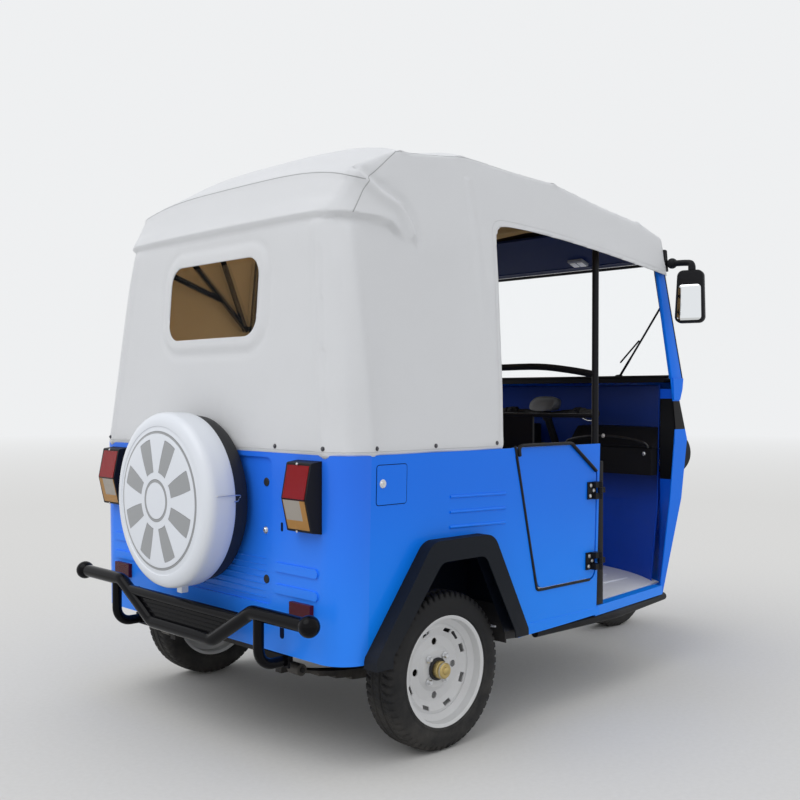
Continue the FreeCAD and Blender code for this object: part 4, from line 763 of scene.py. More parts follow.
# Tyres. Black rubber with two grooves round the tread and slanted cuts through the shoulders,
# which run a little way down the wall. A moulded line runs round each wall above the rim.
tyre_radius = 0.240
wheel_height = 0.240
bead_radius = 0.1612
tread_foot = 0.2225
tread_half = 0.044
track_half = 0.616
wheelbase = 1.820
tyre_pitches = 60
tyre_turns = 480
groove_place = 0.0145
groove_half = 0.0032
groove_depth = 0.0055
tyre_rubber = new_finish("tyre_rubber", (0.0095, 0.0098, 0.011, 1.0), 0.62, shade=0.4, grain=480.0,
                         depth=0.8, step=0.0006, dust=0.22, dust_reach=0.42, Specular_IOR_Level=0.25)
wall_profile = ((bead_radius, 0.0505), (0.1640, 0.0535), (0.1700, 0.0560), (0.1735, 0.0566), (0.1745, 0.0578),
                (0.1765, 0.0578), (0.1775, 0.0572), (0.1850, 0.0587), (0.1960, 0.0598), (0.2060, 0.0594),
                (0.2150, 0.0578), (0.2210, 0.0560), (0.2260, 0.0540), (0.2310, 0.0518), (0.2348, 0.0488))
tread_rows = [tread_half - 0.002 * k for k in range(45)]


def tyre_profile():
    # (radius, sideways) from the outer bead over the tread to the inner bead.
    outer = list(wall_profile)
    crown = [(tyre_radius - 0.0022 * (abs(y) / tread_half) ** 2, y) for y in tread_rows]
    inner = [(r, -y) for r, y in reversed(outer)]
    return outer + crown + inner + [(bead_radius, -0.020), (bead_radius, 0.020)]


def tyre_shell(centre):
    # The profile turned round the wheel's axis, with grooves and cuts sunk into the tread.
    profile = np.array(tyre_profile())
    turn = np.arange(tyre_turns) * 2 * math.pi / tyre_turns
    radius = np.repeat(profile[:, :1], tyre_turns, axis=1)
    side = np.repeat(profile[:, 1:], tyre_turns, axis=1)
    across = np.abs(side)
    on_tread = radius > tread_foot
    groove = np.clip(1.3 - np.abs(across - groove_place) / groove_half, 0, 1) * groove_depth
    shoulder = np.clip((across - 0.0225) / 0.002, 0, 1)
    phase = np.mod(turn[None, :] * tyre_pitches / (2 * math.pi) + side * 14 + (side > 0) * 0.5, 1.0)
    cut = np.clip(2.6 - np.abs(phase - 0.5) * 14, 0, 1) * shoulder * groove_depth
    fine = np.clip(1.6 - np.abs(np.mod(phase + 0.5, 1.0) - 0.5) * 22, 0, 1) * (across < 0.030) * 0.0022
    fade = np.clip((radius - tread_foot) / 0.008, 0, 1)
    radius = radius - np.maximum(np.maximum(groove, cut), fine) * fade * on_tread
    pull = np.where((radius < 0.2370) & (across > tread_half), cut * fade * 0.6, 0)
    side = side - np.sign(side) * pull
    verts = np.stack([centre[0] + radius * np.cos(turn), centre[1] + side,
                      centre[2] + radius * np.sin(turn)], axis=-1)
    return verts.reshape(-1, 3), grid_faces(len(profile), tyre_turns, ring_rows=True, ring_columns=True)


# Each wheel's name, body, centre and the side that its valve is on.
wheels = (("rear_right", "wheel_rear_right", place(0, -track_half, wheel_height), -1),
          ("rear_left", "wheel_rear_left", place(0, track_half, wheel_height), 1),
          ("front", "wheel_front", place(wheelbase, 0, wheel_height), -1))
for label, body, centre, outer in wheels:
    tyre = make("tyre_tread_" + label, [tyre_shell(centre)], tyre_rubber, body, sharp=50.0)
    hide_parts("tyre_" + label)

# Rims. Pressed steel discs in off-white enamel. A brass coloured dust cap in a black ring stands on
# each rear hub, inside four studs with their nuts, and each rim has a rubber valve stem.
rim_enamel = new_finish("rim_enamel", (0.60, 0.605, 0.61, 1.0), 0.40, shade=0.14, grain=260.0, dust=0.25,
                        dust_reach=0.42, Specular_IOR_Level=0.35, Coat_Weight=0.15)
dress(rim_enamel, "rim_rear_left", "rim_rear_right", "rim_front")
brass_cap = new_finish("brass_cap", (0.55, 0.42, 0.17, 1.0), 0.35, shade=0.6, grain=300.0, depth=0.5,
                       Metallic=0.85)
cap_profile = [(0.018, 0), (0.018, 0.0262), (0.036, 0.0262), (0.0375, 0.0245), (0.0495, 0.0238),
               (0.0530, 0.0205), (0.0530, 0.0120), (0.0560, 0.0105), (0.0575, 0.0060), (0.0580, 0)]
ring_profile = [(0.014, 0.0265), (0.014, 0.0345), (0.0205, 0.0345), (0.0225, 0.0325), (0.0225, 0.0265)]
stud_circle = 0.049
valve_angle = 1.1


def on_wheel(centre, radius, angle, sideways):
    return centre + Vector((radius * math.cos(angle), sideways, radius * math.sin(angle)))


for label, body, centre, outer in wheels:
    if label != "front":
        way = (0, outer, 0)
        studs = [(on_wheel(centre, stud_circle, math.pi / 4 + k * math.pi / 2, outer * 0.0150), way)
                 for k in range(4)]
        make("hub_cap_" + label, [lathe(cap_profile, centre, way, 32)], brass_cap, body, sharp=30.0)
        make("hub_ring_" + label, [lathe(ring_profile, centre, way, 32, ring=True)], plug_rubber, body,
             sharp=30.0)
        set_heads("wheel_nuts_" + label, studs, bright_zinc, body, radius=0.0085, height=0.014, washer=0.0115)
    valve_foot = on_wheel(centre, 0.118, valve_angle, outer * 0.030)
    valve_tip = on_wheel(centre, 0.104, valve_angle, outer * 0.050)
    stem = smooth_line([valve_foot, valve_foot.lerp(valve_tip, 0.5), valve_tip], 3)
    make("valve_" + label, [bar(stem, [0.0055, 0.005, 0.0045, 0.004, 0.004, 0.0038, 0.0045], sides=12)],
         plug_rubber, body, sharp=60.0)

# Spare wheel. The same tyre as the others, under a moulded white cover that a wire clip and a short
# tab hold. Eight plain tapered grey pads stand between two thin rings on its face, each in a
# shallow step, and a black rubber skirt closes it towards the tail.
cover_height = 0.748
spare_tyre_centre = place(-0.489, 0, cover_height)
cover_pads = 8.0
pad_reach = (0.088, 0.192)
middle_ring = (0.0570, 0.0660)
edge_ring = (0.2080, 0.2150)
cover_grey = (0.29, 0.30, 0.31, 1.0)
cover_white = (0.68, 0.71, 0.76, 1.0)
spare_verts, spare_faces = tyre_shell((0, 0, 0))
spare_verts = [spare_tyre_centre + Vector((v[1], v[0], v[2])) for v in spare_verts]
spare = make("spare_tyre_tread", [(spare_verts, spare_faces)], tyre_rubber, "vehicle",
             sharp=50.0)
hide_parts("spare_tyre")

motif_group, takes, gives = new_group(
    "cover_inlay",
    [("Height", "number", cover_height), ("Pads", "number", cover_pads)],
    [("Mask", "number"), ("Relief", "number")])
spot = put(motif_group, "ShaderNodeTexCoord")
parts = put(motif_group, "ShaderNodeSeparateXYZ", {0: spot.outputs["Object"]})
across = parts.outputs["Y"]
rise = calc(motif_group, "SUBTRACT", parts.outputs["Z"], takes.outputs["Height"])
radius = calc(motif_group, "ADD", times(motif_group, across, across), times(motif_group, rise, rise))
radius = calc(motif_group, "SQRT", radius)
turns = times(motif_group, calc(motif_group, "ARCTAN2", rise, across), 1 / (2 * math.pi))
turns = times(motif_group, turns, takes.outputs["Pads"])
share = calc(motif_group, "SUBTRACT", calc(motif_group, "FRACT", turns), 0.5)
share = calc(motif_group, "ABSOLUTE", share)
width = put(motif_group, "ShaderNodeMapRange", {
    "Value": radius, "From Min": 0.07, "From Max": 0.21, "To Min": 0.31, "To Max": 0.19})
inside = calc(motif_group, "SUBTRACT", width.outputs["Result"], share)
inlays = times(motif_group, soft_step(motif_group, inside, -0.004, 0.006),
               band(motif_group, radius, *pad_reach, 0.0009))
for reach in (middle_ring, edge_ring):
    inlays = larger(motif_group, inlays, band(motif_group, radius, *reach, 0.0008))
link(motif_group, inlays, gives, "Mask")
link(motif_group, inlays, gives, "Relief")


def add_relief(tree, distance, height):
    # A coarser bump under the surface's own grain.
    fine = [node for node in tree.nodes if node.type == "BUMP"][0]
    relief = put(tree, "ShaderNodeBump", {"Distance": distance, "Height": height})
    link(tree, relief.outputs["Normal"], fine, "Normal")


cover_shell = new_finish("cover_shell", cover_white, 0.30, shade=0.05, Specular_IOR_Level=0.4,
                         Coat_Weight=0.2)
tree = cover_shell.node_tree
inlay = put(tree, "ShaderNodeGroup", {}, node_tree=motif_group)
inlay.inputs["Height"].default_value = cover_height
inlay.inputs["Pads"].default_value = cover_pads
painted = put(tree, "ShaderNodeMix", {"Factor": inlay.outputs["Mask"], "A": cover_white, "B": cover_grey},
              data_type="RGBA")
skin = [node for node in tree.nodes if node.type == "GROUP" and node.node_tree == skin_group][0]
link(tree, painted.outputs[2], skin, "Colour")
add_relief(tree, 0.0035, times(tree, inlay.outputs["Relief"], -1.0))
cover_profile = [(-0.4890, 0.242), (-0.4862, 0.2425), (-0.4862, 0.262), (-0.4880, 0.2695),
                 (-0.4930, 0.2716), (-0.5200, 0.2728), (-0.5480, 0.2730), (-0.5560, 0.2729),
                 (-0.5650, 0.2712), (-0.5730, 0.2672), (-0.5785, 0.2610), (-0.5825, 0.2540),
                 (-0.5855, 0.2460), (-0.5868, 0.2360), (-0.5868, 0.2310), (-0.5848, 0.2290),
                 (-0.5850, 0.2240), (-0.5885, 0.2140), (-0.5905, 0.2000), (-0.5928, 0.1700),
                 (-0.5948, 0.1300), (-0.5962, 0.0900), (-0.5974, 0.0500), (-0.5979, 0.0200),
                 (-0.5980, 0.0)]
cover_wall = 0.003
inner = [(x + cover_wall, max(r - cover_wall, 0)) for x, r in reversed(cover_profile[2:])]
cover_form = lathe([(-x, r) for x, r in cover_profile + inner], place(0, 0, cover_height), (-1, 0, 0), 128)
cover_piece = make("spare_cover_shell", [cover_form], cover_shell, "vehicle", sharp=40.0)
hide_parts("spare_cover")
tab_outline = round_outline(rectangle(-0.014, 0.014, 0.453, 0.482), 0.004)
tab = slab(tab_outline, lambda p, height: place(-0.5005 - height, p.x, p.y),
           [(0, -0.0115), (0, 0.0115), (0.0015, 0.0125)])
make("cover_tab", [tab], cover_shell, "vehicle")
clip_y = -0.2730
clip = smooth_line([place(-0.555, clip_y + 0.0010, 0.777), place(-0.530, clip_y - 0.0022, 0.777),
                    place(-0.500, clip_y - 0.0030, 0.777), place(-0.478, clip_y - 0.0020, 0.776),
                    place(-0.466, clip_y + 0.008, 0.772), place(-0.470, clip_y + 0.011, 0.764),
                    place(-0.482, clip_y - 0.0005, 0.759), place(-0.500, clip_y - 0.0030, 0.758)], 5)
make("cover_clip", [bar(clip, 0.0018, sides=8)], bright_zinc, "vehicle", sharp=60.0)
skirt_profile = [(0.4345, 0.2470), (0.4345, 0.2560), (0.4400, 0.2600), (0.4620, 0.2635),
                 (0.4858, 0.2650), (0.4858, 0.2455), (0.4600, 0.2440)]
skirt = lathe(skirt_profile, place(0, 0, cover_height), (-1, 0, 0), 96, ring=True)
make("cover_skirt", [skirt], plug_rubber, "vehicle", sharp=30.0)

# Tail lamps and reflectors. A ribbed lens in each housing, red above the ridge and amber below it
# with a clear grey window, and a dark red reflector low on the tail.
lamp_ridge = 0.784
lamp_red = (0.27, 0.004, 0.007, 1.0)
lamp_amber = (0.48, 0.25, 0.075, 1.0)
lamp_grey = (0.44, 0.40, 0.35, 1.0)
lamp_dark = (0.03, 0.004, 0.004, 1.0)
reflector_red = (0.085, 0.004, 0.013, 1.0)


def amber_mask(tree):
    # The lamps' lower part, below the ridge.
    x, y, z = spot_on(tree)
    return band(tree, z, 0.600, lamp_ridge - 0.002, 0.0008)


def window_mask(tree):
    x, y, z = spot_on(tree)
    return times(tree, band(tree, y, 0.488, 0.561, 0.0008), band(tree, z, 0.722, 0.7805, 0.0008))


def joint_line_mask(tree):
    x, y, z = spot_on(tree)
    return band(tree, z, lamp_ridge - 0.0045, lamp_ridge + 0.0005, 0.0004)


def reflector_mask(tree):
    x, y, z = spot_on(tree)
    return soft_step(tree, z, 0.602, 0.600)


def add_flutes(material, scale, distance):
    # Upright flutes moulded into a lens.
    tree = material.node_tree
    spot = put(tree, "ShaderNodeTexCoord")
    flutes = put(tree, "ShaderNodeTexWave", {
        "Vector": spot.outputs["Object"], "Scale": scale}, bands_direction="Y")
    add_relief(tree, distance, flutes.outputs["Fac"])


lens_plastic = new_finish("lens_plastic", lamp_red, 0.22, shade=0.2,
                          layers=[(amber_mask, lamp_amber), (window_mask, lamp_grey),
                                  (joint_line_mask, lamp_dark), (reflector_mask, reflector_red)],
                          Specular_IOR_Level=0.25)
add_flutes(lens_plastic, 95.0, 0.0012)
dress(lens_plastic, "rear_lamp_lenses")
lamp_screws = [(place(-0.4655, side * 0.5345, z), (-1, 0, tilt)) for side in (-1, 1)
               for z, tilt in ((0.8815, 0.3), (0.6915, -0.3))]
set_heads("lamp_screws", lamp_screws, bright_zinc, "vehicle", radius=0.0028, height=0.002, sides=12,
          washer=0.0034)

# Cab nose, pillars and header. Body paint outside, in its darker painted-shade tone; the header and the roof
# panel over the cab are dark inside, and the sill is black. A black strip covers the joint between pillar and
# nose.
header_dark = (0.004, 0.012, 0.060, 1.0)
joint_black = (0.002, 0.002, 0.003, 1.0)


def joint_mask(tree):
    # The strip over the joint between pillar and nose.
    x, y, z = spot_on(tree)
    strip = times(tree, band(tree, z, 0.940, 1.052, 0.0008), soft_step(tree, x, along(1.478), along(1.474)))
    return times(tree, strip, soft_step(tree, y, 0.55, 0.552))


# The nose and pillars take the body blue darkened, a painted shade.
nose_paint = new_finish("nose_paint", body_shaded_blue, 0.36, layers=[(joint_mask, joint_black)], **two_pack,
                        Specular_IOR_Level=0.14)
dress(nose_paint, "front_cowl")
header_paint = new_finish("header_paint", header_dark, 0.55, shade=0.3, grain=300.0, Specular_IOR_Level=0.06)


def loft(rings):
    # A solid through flat rings of the same number of points.
    count = len(rings[0])
    faces = grid_faces(len(rings), count, ring_columns=True)
    faces.append(tuple(range(count - 1, -1, -1)))
    faces.append(tuple(range((len(rings) - 1) * count, len(rings) * count)))
    return [p for ring in rings for p in ring], faces


# The pillar's rows are its height, outer half width, and rear and front places.
pillar_rows = ((1.1403, 0.6120, 1.3560, 1.4320), (1.3500, 0.5960, 1.3280, 1.3905),
               (1.5600, 0.5810, 1.3020, 1.3490), (1.6400, 0.5760, 1.2820, 1.3330))
pillar_width = 0.015
pillar_edge = 0.004
foot_edge = [Vector(p) for p in (
    (1.3560, 1.0560), (1.4020, 1.0560), (1.4230, 1.1000), (1.4315, 1.1425), (1.3560, 1.1425))]
pillars = []
gussets = []
pillar_seals = []
for side in (-1, 1):
    line = [place(front + 0.001, side * (half - 0.0025), z) for z, half, rear, front in pillar_rows]
    pillar_seals.append(bar(smooth_line(line, 3), 0.0042, sides=8))
    rings = []
    for z, half, rear, front in pillar_rows:
        outline = round_outline(rectangle(rear, front, half - pillar_width, half), pillar_edge, 3)
        rings.append([place(p.x, side * p.y, z) for p in outline])
    pillars.append(loft(rings))
    gussets.append(slab(foot_edge, lambda p, height, side=side: place(
        p.x, side * (0.6160 + (1.1425 - p.y) * 0.045 + height), p.y),
        [(0, -0.0012), (0, 0.0010), (0.0008, 0.0018)]))
pillar_piece = make("windscreen_pillars", pillars, nose_paint, "vehicle", sharp=40.0)
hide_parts("windscreen_frame")
make("pillar_seals", pillar_seals, seal_rubber, "vehicle", sharp=60.0)
make("pillar_feet", gussets, nose_paint, "vehicle", sharp=30.0)
header_edge = ((1.246, 1.604), (1.338, 1.604), (1.333, 1.640), (1.236, 1.640))
panel_edge = ((0.980, 1.697), (1.238, 1.607), (1.240, 1.627), (0.984, 1.707))
sill_rail = ((1.362, 1.127), (1.428, 1.127), (1.428, 1.1447), (1.356, 1.1447))
headers = []
for outline, half in ((header_edge, 0.564), (panel_edge, 0.490)):
    headers.append(loft([[place(x, y, z) for x, z in outline] for y in (-half, half)]))
make("cab_header", headers, header_paint, "vehicle", sharp=30.0)
sill = loft([[place(x, y, z) for x, z in sill_rail] for y in (-0.574, 0.574)])
make("screen_sill", [sill], black_plastic, "vehicle", sharp=30.0)

# Dash and door jambs. A moulded slope carries each tray up to the front panel, and a black cheek
# and a blue jamb below it close the gap between panel and doorway.
slope_edge = ((1.304, 0.8635), (1.300, 0.872), (1.330, 0.890), (1.372, 0.938), (1.384, 0.945),
              (1.462, 0.948), (1.462, 0.8635))
slope_rows = ((0.132, 0.006, -0.004), (0.138, 0, 0), (0.556, 0, 0))
jamb_dark = (0.0045, 0.0048, 0.0062, 1.0)
jamb_heights = (0.342, 0.45, 0.56, 0.67, 0.78, 0.89, 0.96, 1.03, 1.10)
jamb_rear_x = 1.350
jamb_inset = 0.006


def jamb_ring(side, z):
    # A thin strip from the front panel's edge to the doorway's edge at a height.
    door_x = np.interp(z, [0.340, 0.950, 1.145], [1.284, 1.368, 1.345]) + jamb_inset
    door_half = np.interp(z, [0.296, 0.665, 0.900, 1.050, 1.140],
                          [0.606, 0.622, 0.622, 0.618, 0.614]) - jamb_inset
    panel_half = np.interp(z, [0.33, 0.64], [0.552, 0.562])
    return [place(jamb_rear_x, side * panel_half, z), place(door_x, side * door_half, z),
            place(door_x + 0.003, side * (door_half - 0.001), z),
            place(jamb_rear_x + 0.003, side * (panel_half - 0.001), z)]


slopes = []
for side in (-1, 1):
    slopes.append(loft([[place(x + dx, side * y, z + dz) for x, z in slope_edge]
                        for y, dx, dz in slope_rows]))
jambs = [loft([jamb_ring(side, z) for z in jamb_heights]) for side in (-1, 1)]


def cheek_mask(tree):
    x, y, z = spot_on(tree)
    return band(tree, z, 0.742, 1.062, 0.001)


make("dash_slopes", slopes, black_plastic, "vehicle", sharp=25.0)
jamb_paint = new_finish("jamb_paint", (0.003, 0.080, 0.60, 1.0), 0.45, shade=0.2, grain=300.0,
                        layers=[(cheek_mask, jamb_dark)], Specular_IOR_Level=0.12)
make("door_jambs", jambs, jamb_paint, "vehicle", sharp=40.0)

# Driver's partition. A square post stands on the floor by each doorway and a round tube leans
# forward from it to the roof. Two bent rails, a foot rail and a plain sheet join the two sides.
post_foot, post_head = Vector((0.800, 0.640, 0.800)), Vector((0.982, 0.513, 1.762))
tubes = []
for side in (-1, 1):
    post_edge = round_outline(rectangle(0.778, 0.822, 0.618, 0.662), 0.004, 3)
    tubes.append(loft([[place(p.x, side * p.y, z) for p in post_edge] for z in (0.3305, 0.840)]))
    leaning = [post_foot.lerp(post_head, k / 8) for k in range(9)]
    tubes.append(bar([place(p.x, side * p.y, p.z) for p in leaning], 0.0125, sides=16, up=Vector((0, 1, 0))))


def post_at(z):
    # Where the leaning tube is at a height.
    return post_foot.lerp(post_head, (z - post_foot.z) / (post_head.z - post_foot.z))


for z, rise, inner_x, radius in ((1.150, 0.034, 0.866, 0.013), (1.000, 0.000, 0.802, 0.008)):
    end = post_at(z)
    half = [place(end.x, end.y, z), place(end.x * 0.4 + inner_x * 0.6, 0.480, z + rise * 0.55),
            place(inner_x, 0.330, z + rise), place(inner_x, 0.110, z + rise)]
    line = half + [Vector((p.x, -p.y, p.z)) for p in reversed(half)]
    tubes.append(bar(smooth_line(line, 5), radius, sides=14))
tubes.append(bar([place(0.800, 0.640 * (k / 8 - 1), 0.780) for k in range(17)], 0.013, sides=14))
sheet_edge = round_outline(rectangle(-0.360, 0.360, 0.770, 1.000), 0.010)
tubes.append(slab(sheet_edge, lambda p, height: place(0.796 + height, p.x, p.y), [(0, 0), (0, 0.010)]))
partition = make("partition_tubes", tubes, chassis_enamel, "vehicle", sharp=40.0)
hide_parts("partition_frame")

# Windscreen. Flat laminated pane between two black rubber strips on the pillars, header and sill.
# One wiper turns on a cap at the sill and is parked slanting across the pane.
clear_glass = bpy.data.materials.new("clear_glass")
clear_glass.use_nodes = True
tree = clear_glass.node_tree
shader = tree.nodes["Principled BSDF"]
for key, value in (("Base Color", (0.93, 0.97, 0.97, 1.0)), ("Transmission Weight", 1.0), ("IOR", 1.01),
                   ("Alpha", 0.25), ("Coat Weight", 0.2)):
    shader.inputs[key].default_value = value
spot = put(tree, "ShaderNodeTexCoord")
film = put(tree, "ShaderNodeTexNoise", {"Vector": spot.outputs["Object"], "Scale": 7.0, "Detail": 5.0})
smear = put(tree, "ShaderNodeMapRange", {"Value": film.outputs["Fac"], "From Min": 0.4, "From Max": 0.8,
                                         "To Min": 0.015, "To Max": 0.07})
link(tree, smear.outputs["Result"], shader, "Roughness")
dress(clear_glass, "rear_window")
pane_foot, pane_head = 1.145, 1.600
pane_foot_x, pane_head_x = 1.392, 1.316
pane_foot_half, pane_head_half = 0.5965, 0.5640


def pane_point(y_share, z_share, out):
    # A point of the pane at shares of its half width and height, moved out of its face.
    z = pane_foot + (pane_head - pane_foot) * z_share
    half = pane_foot_half + (pane_head_half - pane_foot_half) * z_share
    x = pane_foot_x + (pane_head_x - pane_foot_x) * z_share
    return place(x + out, half * y_share, z)


pane_edge = ((-1, 0), (1, 0), (1, 0.005), (-1, 0.005))
pane = loft([[pane_point(a, b, out) for a, out in pane_edge] for b in (0, 1)])
pane_piece = make("windscreen_pane", [pane], clear_glass, "vehicle", sharp=20.0)
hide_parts("windscreen")
rubber_corners = ((-1, 0), (1, 0), (1, 1), (-1, 1))
rubber_half_share = 1 - 0.010 / 0.55
for label, out in (("inner", -0.0010), ("outer", 0.0060)):
    loop = []
    for i, (a, b) in enumerate(rubber_corners):
        a2, b2 = rubber_corners[(i + 1) % 4]
        for k in range(12):
            y_share, z_share = a + (a2 - a) * k / 12, b + (b2 - b) * k / 12
            loop.append(pane_point(y_share * rubber_half_share, 0.012 + z_share * 0.976, out))
    strip = bar(loop + loop[:1], 0.0055, sides=8, flat=0.6, up=Vector((1, 0, 0.165)), ends=False)
    make("screen_rubber_" + label, [strip], seal_rubber, "vehicle", sharp=60.0)

blade = smooth_line([place(1.4030, -0.332, 1.150), place(1.3840, -0.445, 1.290),
                     place(1.3600, -0.558, 1.428)], 6)
link_rod = smooth_line([place(1.3985, -0.342, 1.212), place(1.3915, -0.392, 1.256),
                        place(1.3855, -0.440, 1.298)], 4)
wiper_cap = lathe([(-0.012, 0), (-0.012, 0.017), (0.010, 0.016), (0.016, 0.010), (0.016, 0)],
                  place(1.4060, -0.330, 1.146), (1, 0, 0.16), 24)
wiper_bars = [bar(blade, [0.0062] * 4 + [0.0050] * 9, sides=10, flat=0.7), bar(link_rod, 0.0036, sides=8),
              wiper_cap]
wiper_piece = make("wiper_arm", wiper_bars, black_plastic, "vehicle", sharp=40.0)
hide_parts("wiper")

# Cab lamp. A small light in a grey plastic body with a two-part clear lens, fixed to the underside
# of the roof panel over the cab.
lamp_corners = [(1.176, -0.307), (1.176, -0.233), (1.224, -0.233), (1.224, -0.307)]
lens_rear, lens_front = 1.184, 1.216
lens_width = 0.027
panel_fall = 0.349


def under_panel(p, height):
    # A point that far below the roof panel's underside.
    panel_x, panel_z = panel_edge[0]
    return place(p.x, p.y, panel_z - (p.x - panel_x) * panel_fall - height)


lamp_form = slab(round_outline(lamp_corners, 0.006), under_panel, [(0, -0.001), (0, 0.008), (0.003, 0.011)])
lamp_body = new_finish("cab_lamp_body", (0.20, 0.22, 0.26, 1.0), 0.35, shade=0.15, grain=500.0)
make("cab_lamp", [lamp_form], lamp_body, "vehicle")
lenses = []
for y in (-0.301, -0.301 + 0.034):
    outline = round_outline([(lens_rear, y), (lens_rear, y + lens_width), (lens_front, y + lens_width),
                             (lens_front, y)], 0.003)
    lenses.append(slab(outline, under_panel, [(0, 0.010), (0, 0.013), (0.001, 0.014)]))
lamp_lens = new_finish("cab_lamp_lens", (0.85, 0.86, 0.86, 1.0), 0.2, shade=0.1)
make("cab_lamp_lens", lenses, lamp_lens, "vehicle")

# Dash. Black wire rails bent over each moulded tray, with a round bright knob at the middle of each
# and two more at its ends.
rail_wire = new_finish("rail_wire", (0.010, 0.010, 0.011, 1.0), 0.35, shade=0.3, Coat_Weight=0.3)
rails = []
knobs = []
rail_bends = ((1.302, 0.135, 0.866), (1.296, 0.150, 0.886), (1.290, 0.235, 0.903), (1.288, 0.336, 0.909),
              (1.290, 0.437, 0.903), (1.296, 0.522, 0.886), (1.302, 0.538, 0.866))
for side in (-1, 1):
    rails.append(bar(smooth_line([place(x, side * y, z) for x, y, z in rail_bends], 6), 0.0045, sides=10))
    knobs.append((place(1.2845, side * 0.336, 0.909), (-1, 0, 0.2)))
    for y in (0.150, 0.520):
        knobs.append((place(1.2990, side * y, 0.842), (-1, 0, 0)))
make("tray_rails", rails, rail_wire, "vehicle", sharp=60.0)
set_heads("tray_knobs", knobs, bright_zinc, "vehicle", radius=0.0062, height=0.006, sides=16, washer=0.0085)

# Handlebar fittings. A ribbed rubber grip, an alloy lever and a black switch pod at each end, and a
# moulded instrument hood on the clamp between them, painted grey as a painted highlight. Nothing is printed
# on any of them.
bar_centre = Vector(joints["steering_turn"]["pos_m"])
grip_rubber = new_finish("grip_rubber", (0.010, 0.010, 0.011, 1.0), 0.7, shade=0.3, grain=500.0, depth=0.8)
grips = []
pods = []
levers = []
pod_profile = [(-0.046, 0.0), (-0.046, 0.017), (-0.042, 0.0215), (-0.012, 0.0235), (-0.002, 0.021),
               (0.002, 0.016), (0.002, 0.0)]
button_profile = [(0.0, 0.0), (0.0, 0.0075), (0.010, 0.0072), (0.012, 0.0055), (0.012, 0.0)]
reach = Vector((0.005, 0, -0.021))
lever_bends = ((-0.018, 0.4), (0.004, 1.1), (0.035, 1.45), (0.066, 1.35), (0.082, 1.42))
for side in (-1, 1):
    knee = bar_centre + Vector((0.006, side * 0.120, 0.014))
    tip = bar_centre + Vector((-0.040, side * 0.292, 0.008))
    way = (tip - knee).normalized()
    start = knee + way * 0.085
    profile = []
    for k in range(34):
        s = k / 33
        ripple = 0.0009 if k % 2 else 0.0
        flange = 0.005 if k in (0, 1, 32) else 0.0
        profile.append((0.006 + s * 0.083, 0.0168 + ripple + flange))
    profile = [(0.006, 0.0)] + profile + [(0.0895, 0.0)]
    grips.append(lathe(profile, start, way, 24))
    pods.append(lathe(pod_profile, start, way, 24))
    pods.append(lathe(button_profile, start - way * 0.026 + Vector((-0.018, 0, 0.008)), (-0.8, 0, 0.6), 16))
    lever = smooth_line([start + way * ahead + reach * out for ahead, out in lever_bends], 5)
    levers.append(bar(lever, 0.0052, sides=10, flat=0.75))
make("handlebar_grips", grips, grip_rubber, "steering", sharp=40.0)
make("switch_pods", pods, black_plastic, "steering", sharp=40.0)
polished_alloy = new_finish("polished_alloy", (0.62, 0.63, 0.64, 1.0), 0.22, shade=0.2, grain=600.0,
                            depth=0.2, Metallic=0.95)
make("handlebar_levers", levers, polished_alloy, "steering", sharp=60.0)
hood_rows = []
for half, top, rear in ((0.040, 0.030, -0.052), (0.066, 0.052, -0.046), (0.074, 0.064, -0.024),
                        (0.060, 0.058, 0.014)):
    ring = []
    for k in range(24):
        a = 2 * math.pi * k / 24
        c, d = math.cos(a), math.sin(a)
        y = half * abs(c) ** 0.6 * math.copysign(1, c)
        z = top * 0.5 + top * 0.5 * abs(d) ** 0.7 * math.copysign(1, d)
        ring.append(bar_centre + Vector((rear + 0.3 * z, y, 0.016 + z)))
    hood_rows.append(ring)
# The hood's grey is a painted highlight, lighter than the black plastic it stands for.
hood_plastic = new_finish("hood_plastic", (0.060, 0.064, 0.070, 1.0), 0.42, shade=0.2, grain=700.0, depth=0.6)
make("instrument_hood", [loft(hood_rows)], hood_plastic, "steering", sharp=45.0)

